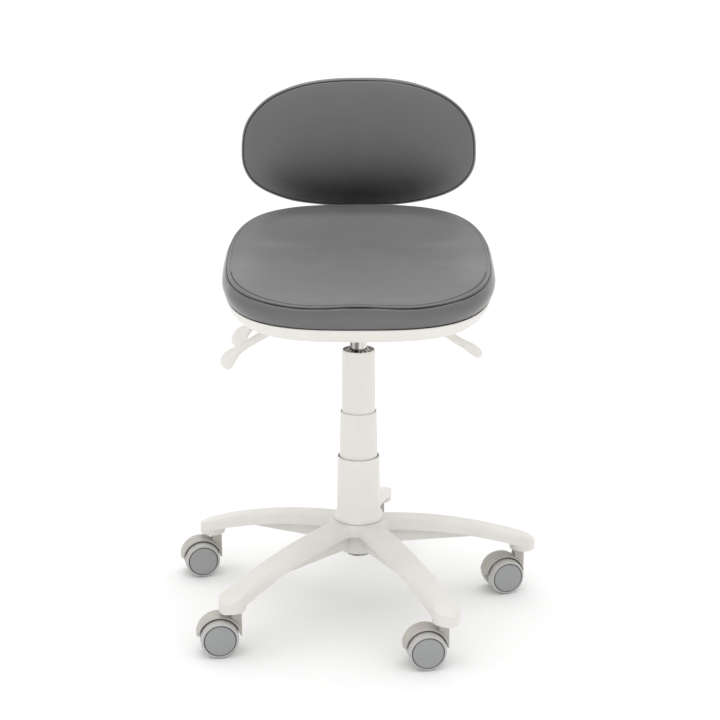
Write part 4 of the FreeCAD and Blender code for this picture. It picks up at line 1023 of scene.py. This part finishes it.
carried = {
    "starBase": ("star_base", enamel, 0), "backBar": ("back_bar", whiteSteel, 1.4),
    "backBracket": ("back_bracket", powderCoat, 0.6), "housing": ("mechanism_housing", whiteSteel, 1.2),
    "seatPlate": ("seat_plate", powderCoat, 0.6), "quadrant": ("seat_quadrant", zinc, 0.4),
    "seatPivot": ("seat_pivot_pin", zinc, 0.6), "backPivot": ("back_pivot_pin", zinc, 0.6),
    "leverPins": ("lever_pins", zinc, 0.4), "tiltClamp": ("tilt_clamp", zinc, 0.5),
    "reclineClamp": ("recline_clamp", zinc, 0.5), "clampPlates": ("clamp_plates", zinc, 0.3),
    "heightBar": ("height_lever_bar", zinc, 0.5), "tiltBar": ("tilt_lever_bar", zinc, 0.5),
    "reclineBar": ("recline_lever_bar", zinc, 0.5), "seatBolts": ("seat_bolts", zinc, 0.5),
    "backBolts": ("back_bolts", zinc, 0.5), "backScrews": ("back_screws", zinc, 0.3),
    "backSlider": ("back_slider", blackNylon, 1.4), "backKnob": ("back_knob", blackNylon, 1.8),
    "seatBoard": ("seat_board", plywood, 0.8), "backBoard": ("back_board", plywood, 0.8),
    "casterStems": ("caster_stems", zinc, 0.4), "columnBush": ("column_bush", blackNylon, 0.3),
    "thrustBearing": ("thrust_bearing", zinc, 0), "rubberBuffer": ("rubber_buffer", rubberBlack, 0.6),
    "pistonRod": ("piston_rod", chrome, 0.3), "retainingClip": ("retaining_clip", zinc, 0.2),
    "piston": ("piston", blackNylon, 0.3), "rodGuide": ("rod_guide", blackNylon, 0.3),
}
for name, (node, material, width) in carried.items():
    fromCad(node, name, material, width)
print("stage: carried over")


studio = {"floorHalf": 60, "sun": 0.7, "sunAngle": 60, "world": 0.95,
          "lens": 81.6, "camera": (0.0024, -2.5536, 1.1362), "tilt": 74.31}
wide = studio["floorHalf"]
floorMesh = bpy.data.meshes.new("floor")
floorMesh.from_pydata([(-wide, -wide, 0), (wide, -wide, 0), (wide, wide, 0), (-wide, wide, 0)], [],
                       [(0, 1, 2, 3)])
floor = bpy.data.objects.new("floor", floorMesh)
bpy.context.scene.collection.objects.link(floor)
floorWhite = makeMaterial("floor_white", "", moulded("#FBFBFB", "#FAFAFA", 0.8, 0.85, 0.02), IOR=1.3)
floor.data.materials.append(floorWhite)


sun = bpy.data.lights.new("ceiling", "SUN")
sun.energy, sun.angle = studio["sun"], math.radians(studio["sunAngle"])
ceiling = bpy.data.objects.new("ceiling", sun)
ceiling.rotation_euler = Vector((0, -0.15, -1)).to_track_quat("-Z", "Y").to_euler()
bpy.context.scene.collection.objects.link(ceiling)
world = bpy.data.worlds.new("studio")
world.use_nodes = True
world.node_tree.nodes["Background"].inputs["Color"].default_value = (1, 1, 1, 1)
world.node_tree.nodes["Background"].inputs["Strength"].default_value = studio["world"]
bpy.context.scene.world = world
bpy.context.scene.view_settings.view_transform = "Standard"

lens = bpy.data.cameras.new("camera")
lens.lens = studio["lens"]
camera = bpy.data.objects.new("camera", lens)
camera.location = studio["camera"]
camera.rotation_euler = (math.radians(studio["tilt"]), 0, 0)
bpy.context.scene.collection.objects.link(camera)
bpy.context.scene.camera = camera
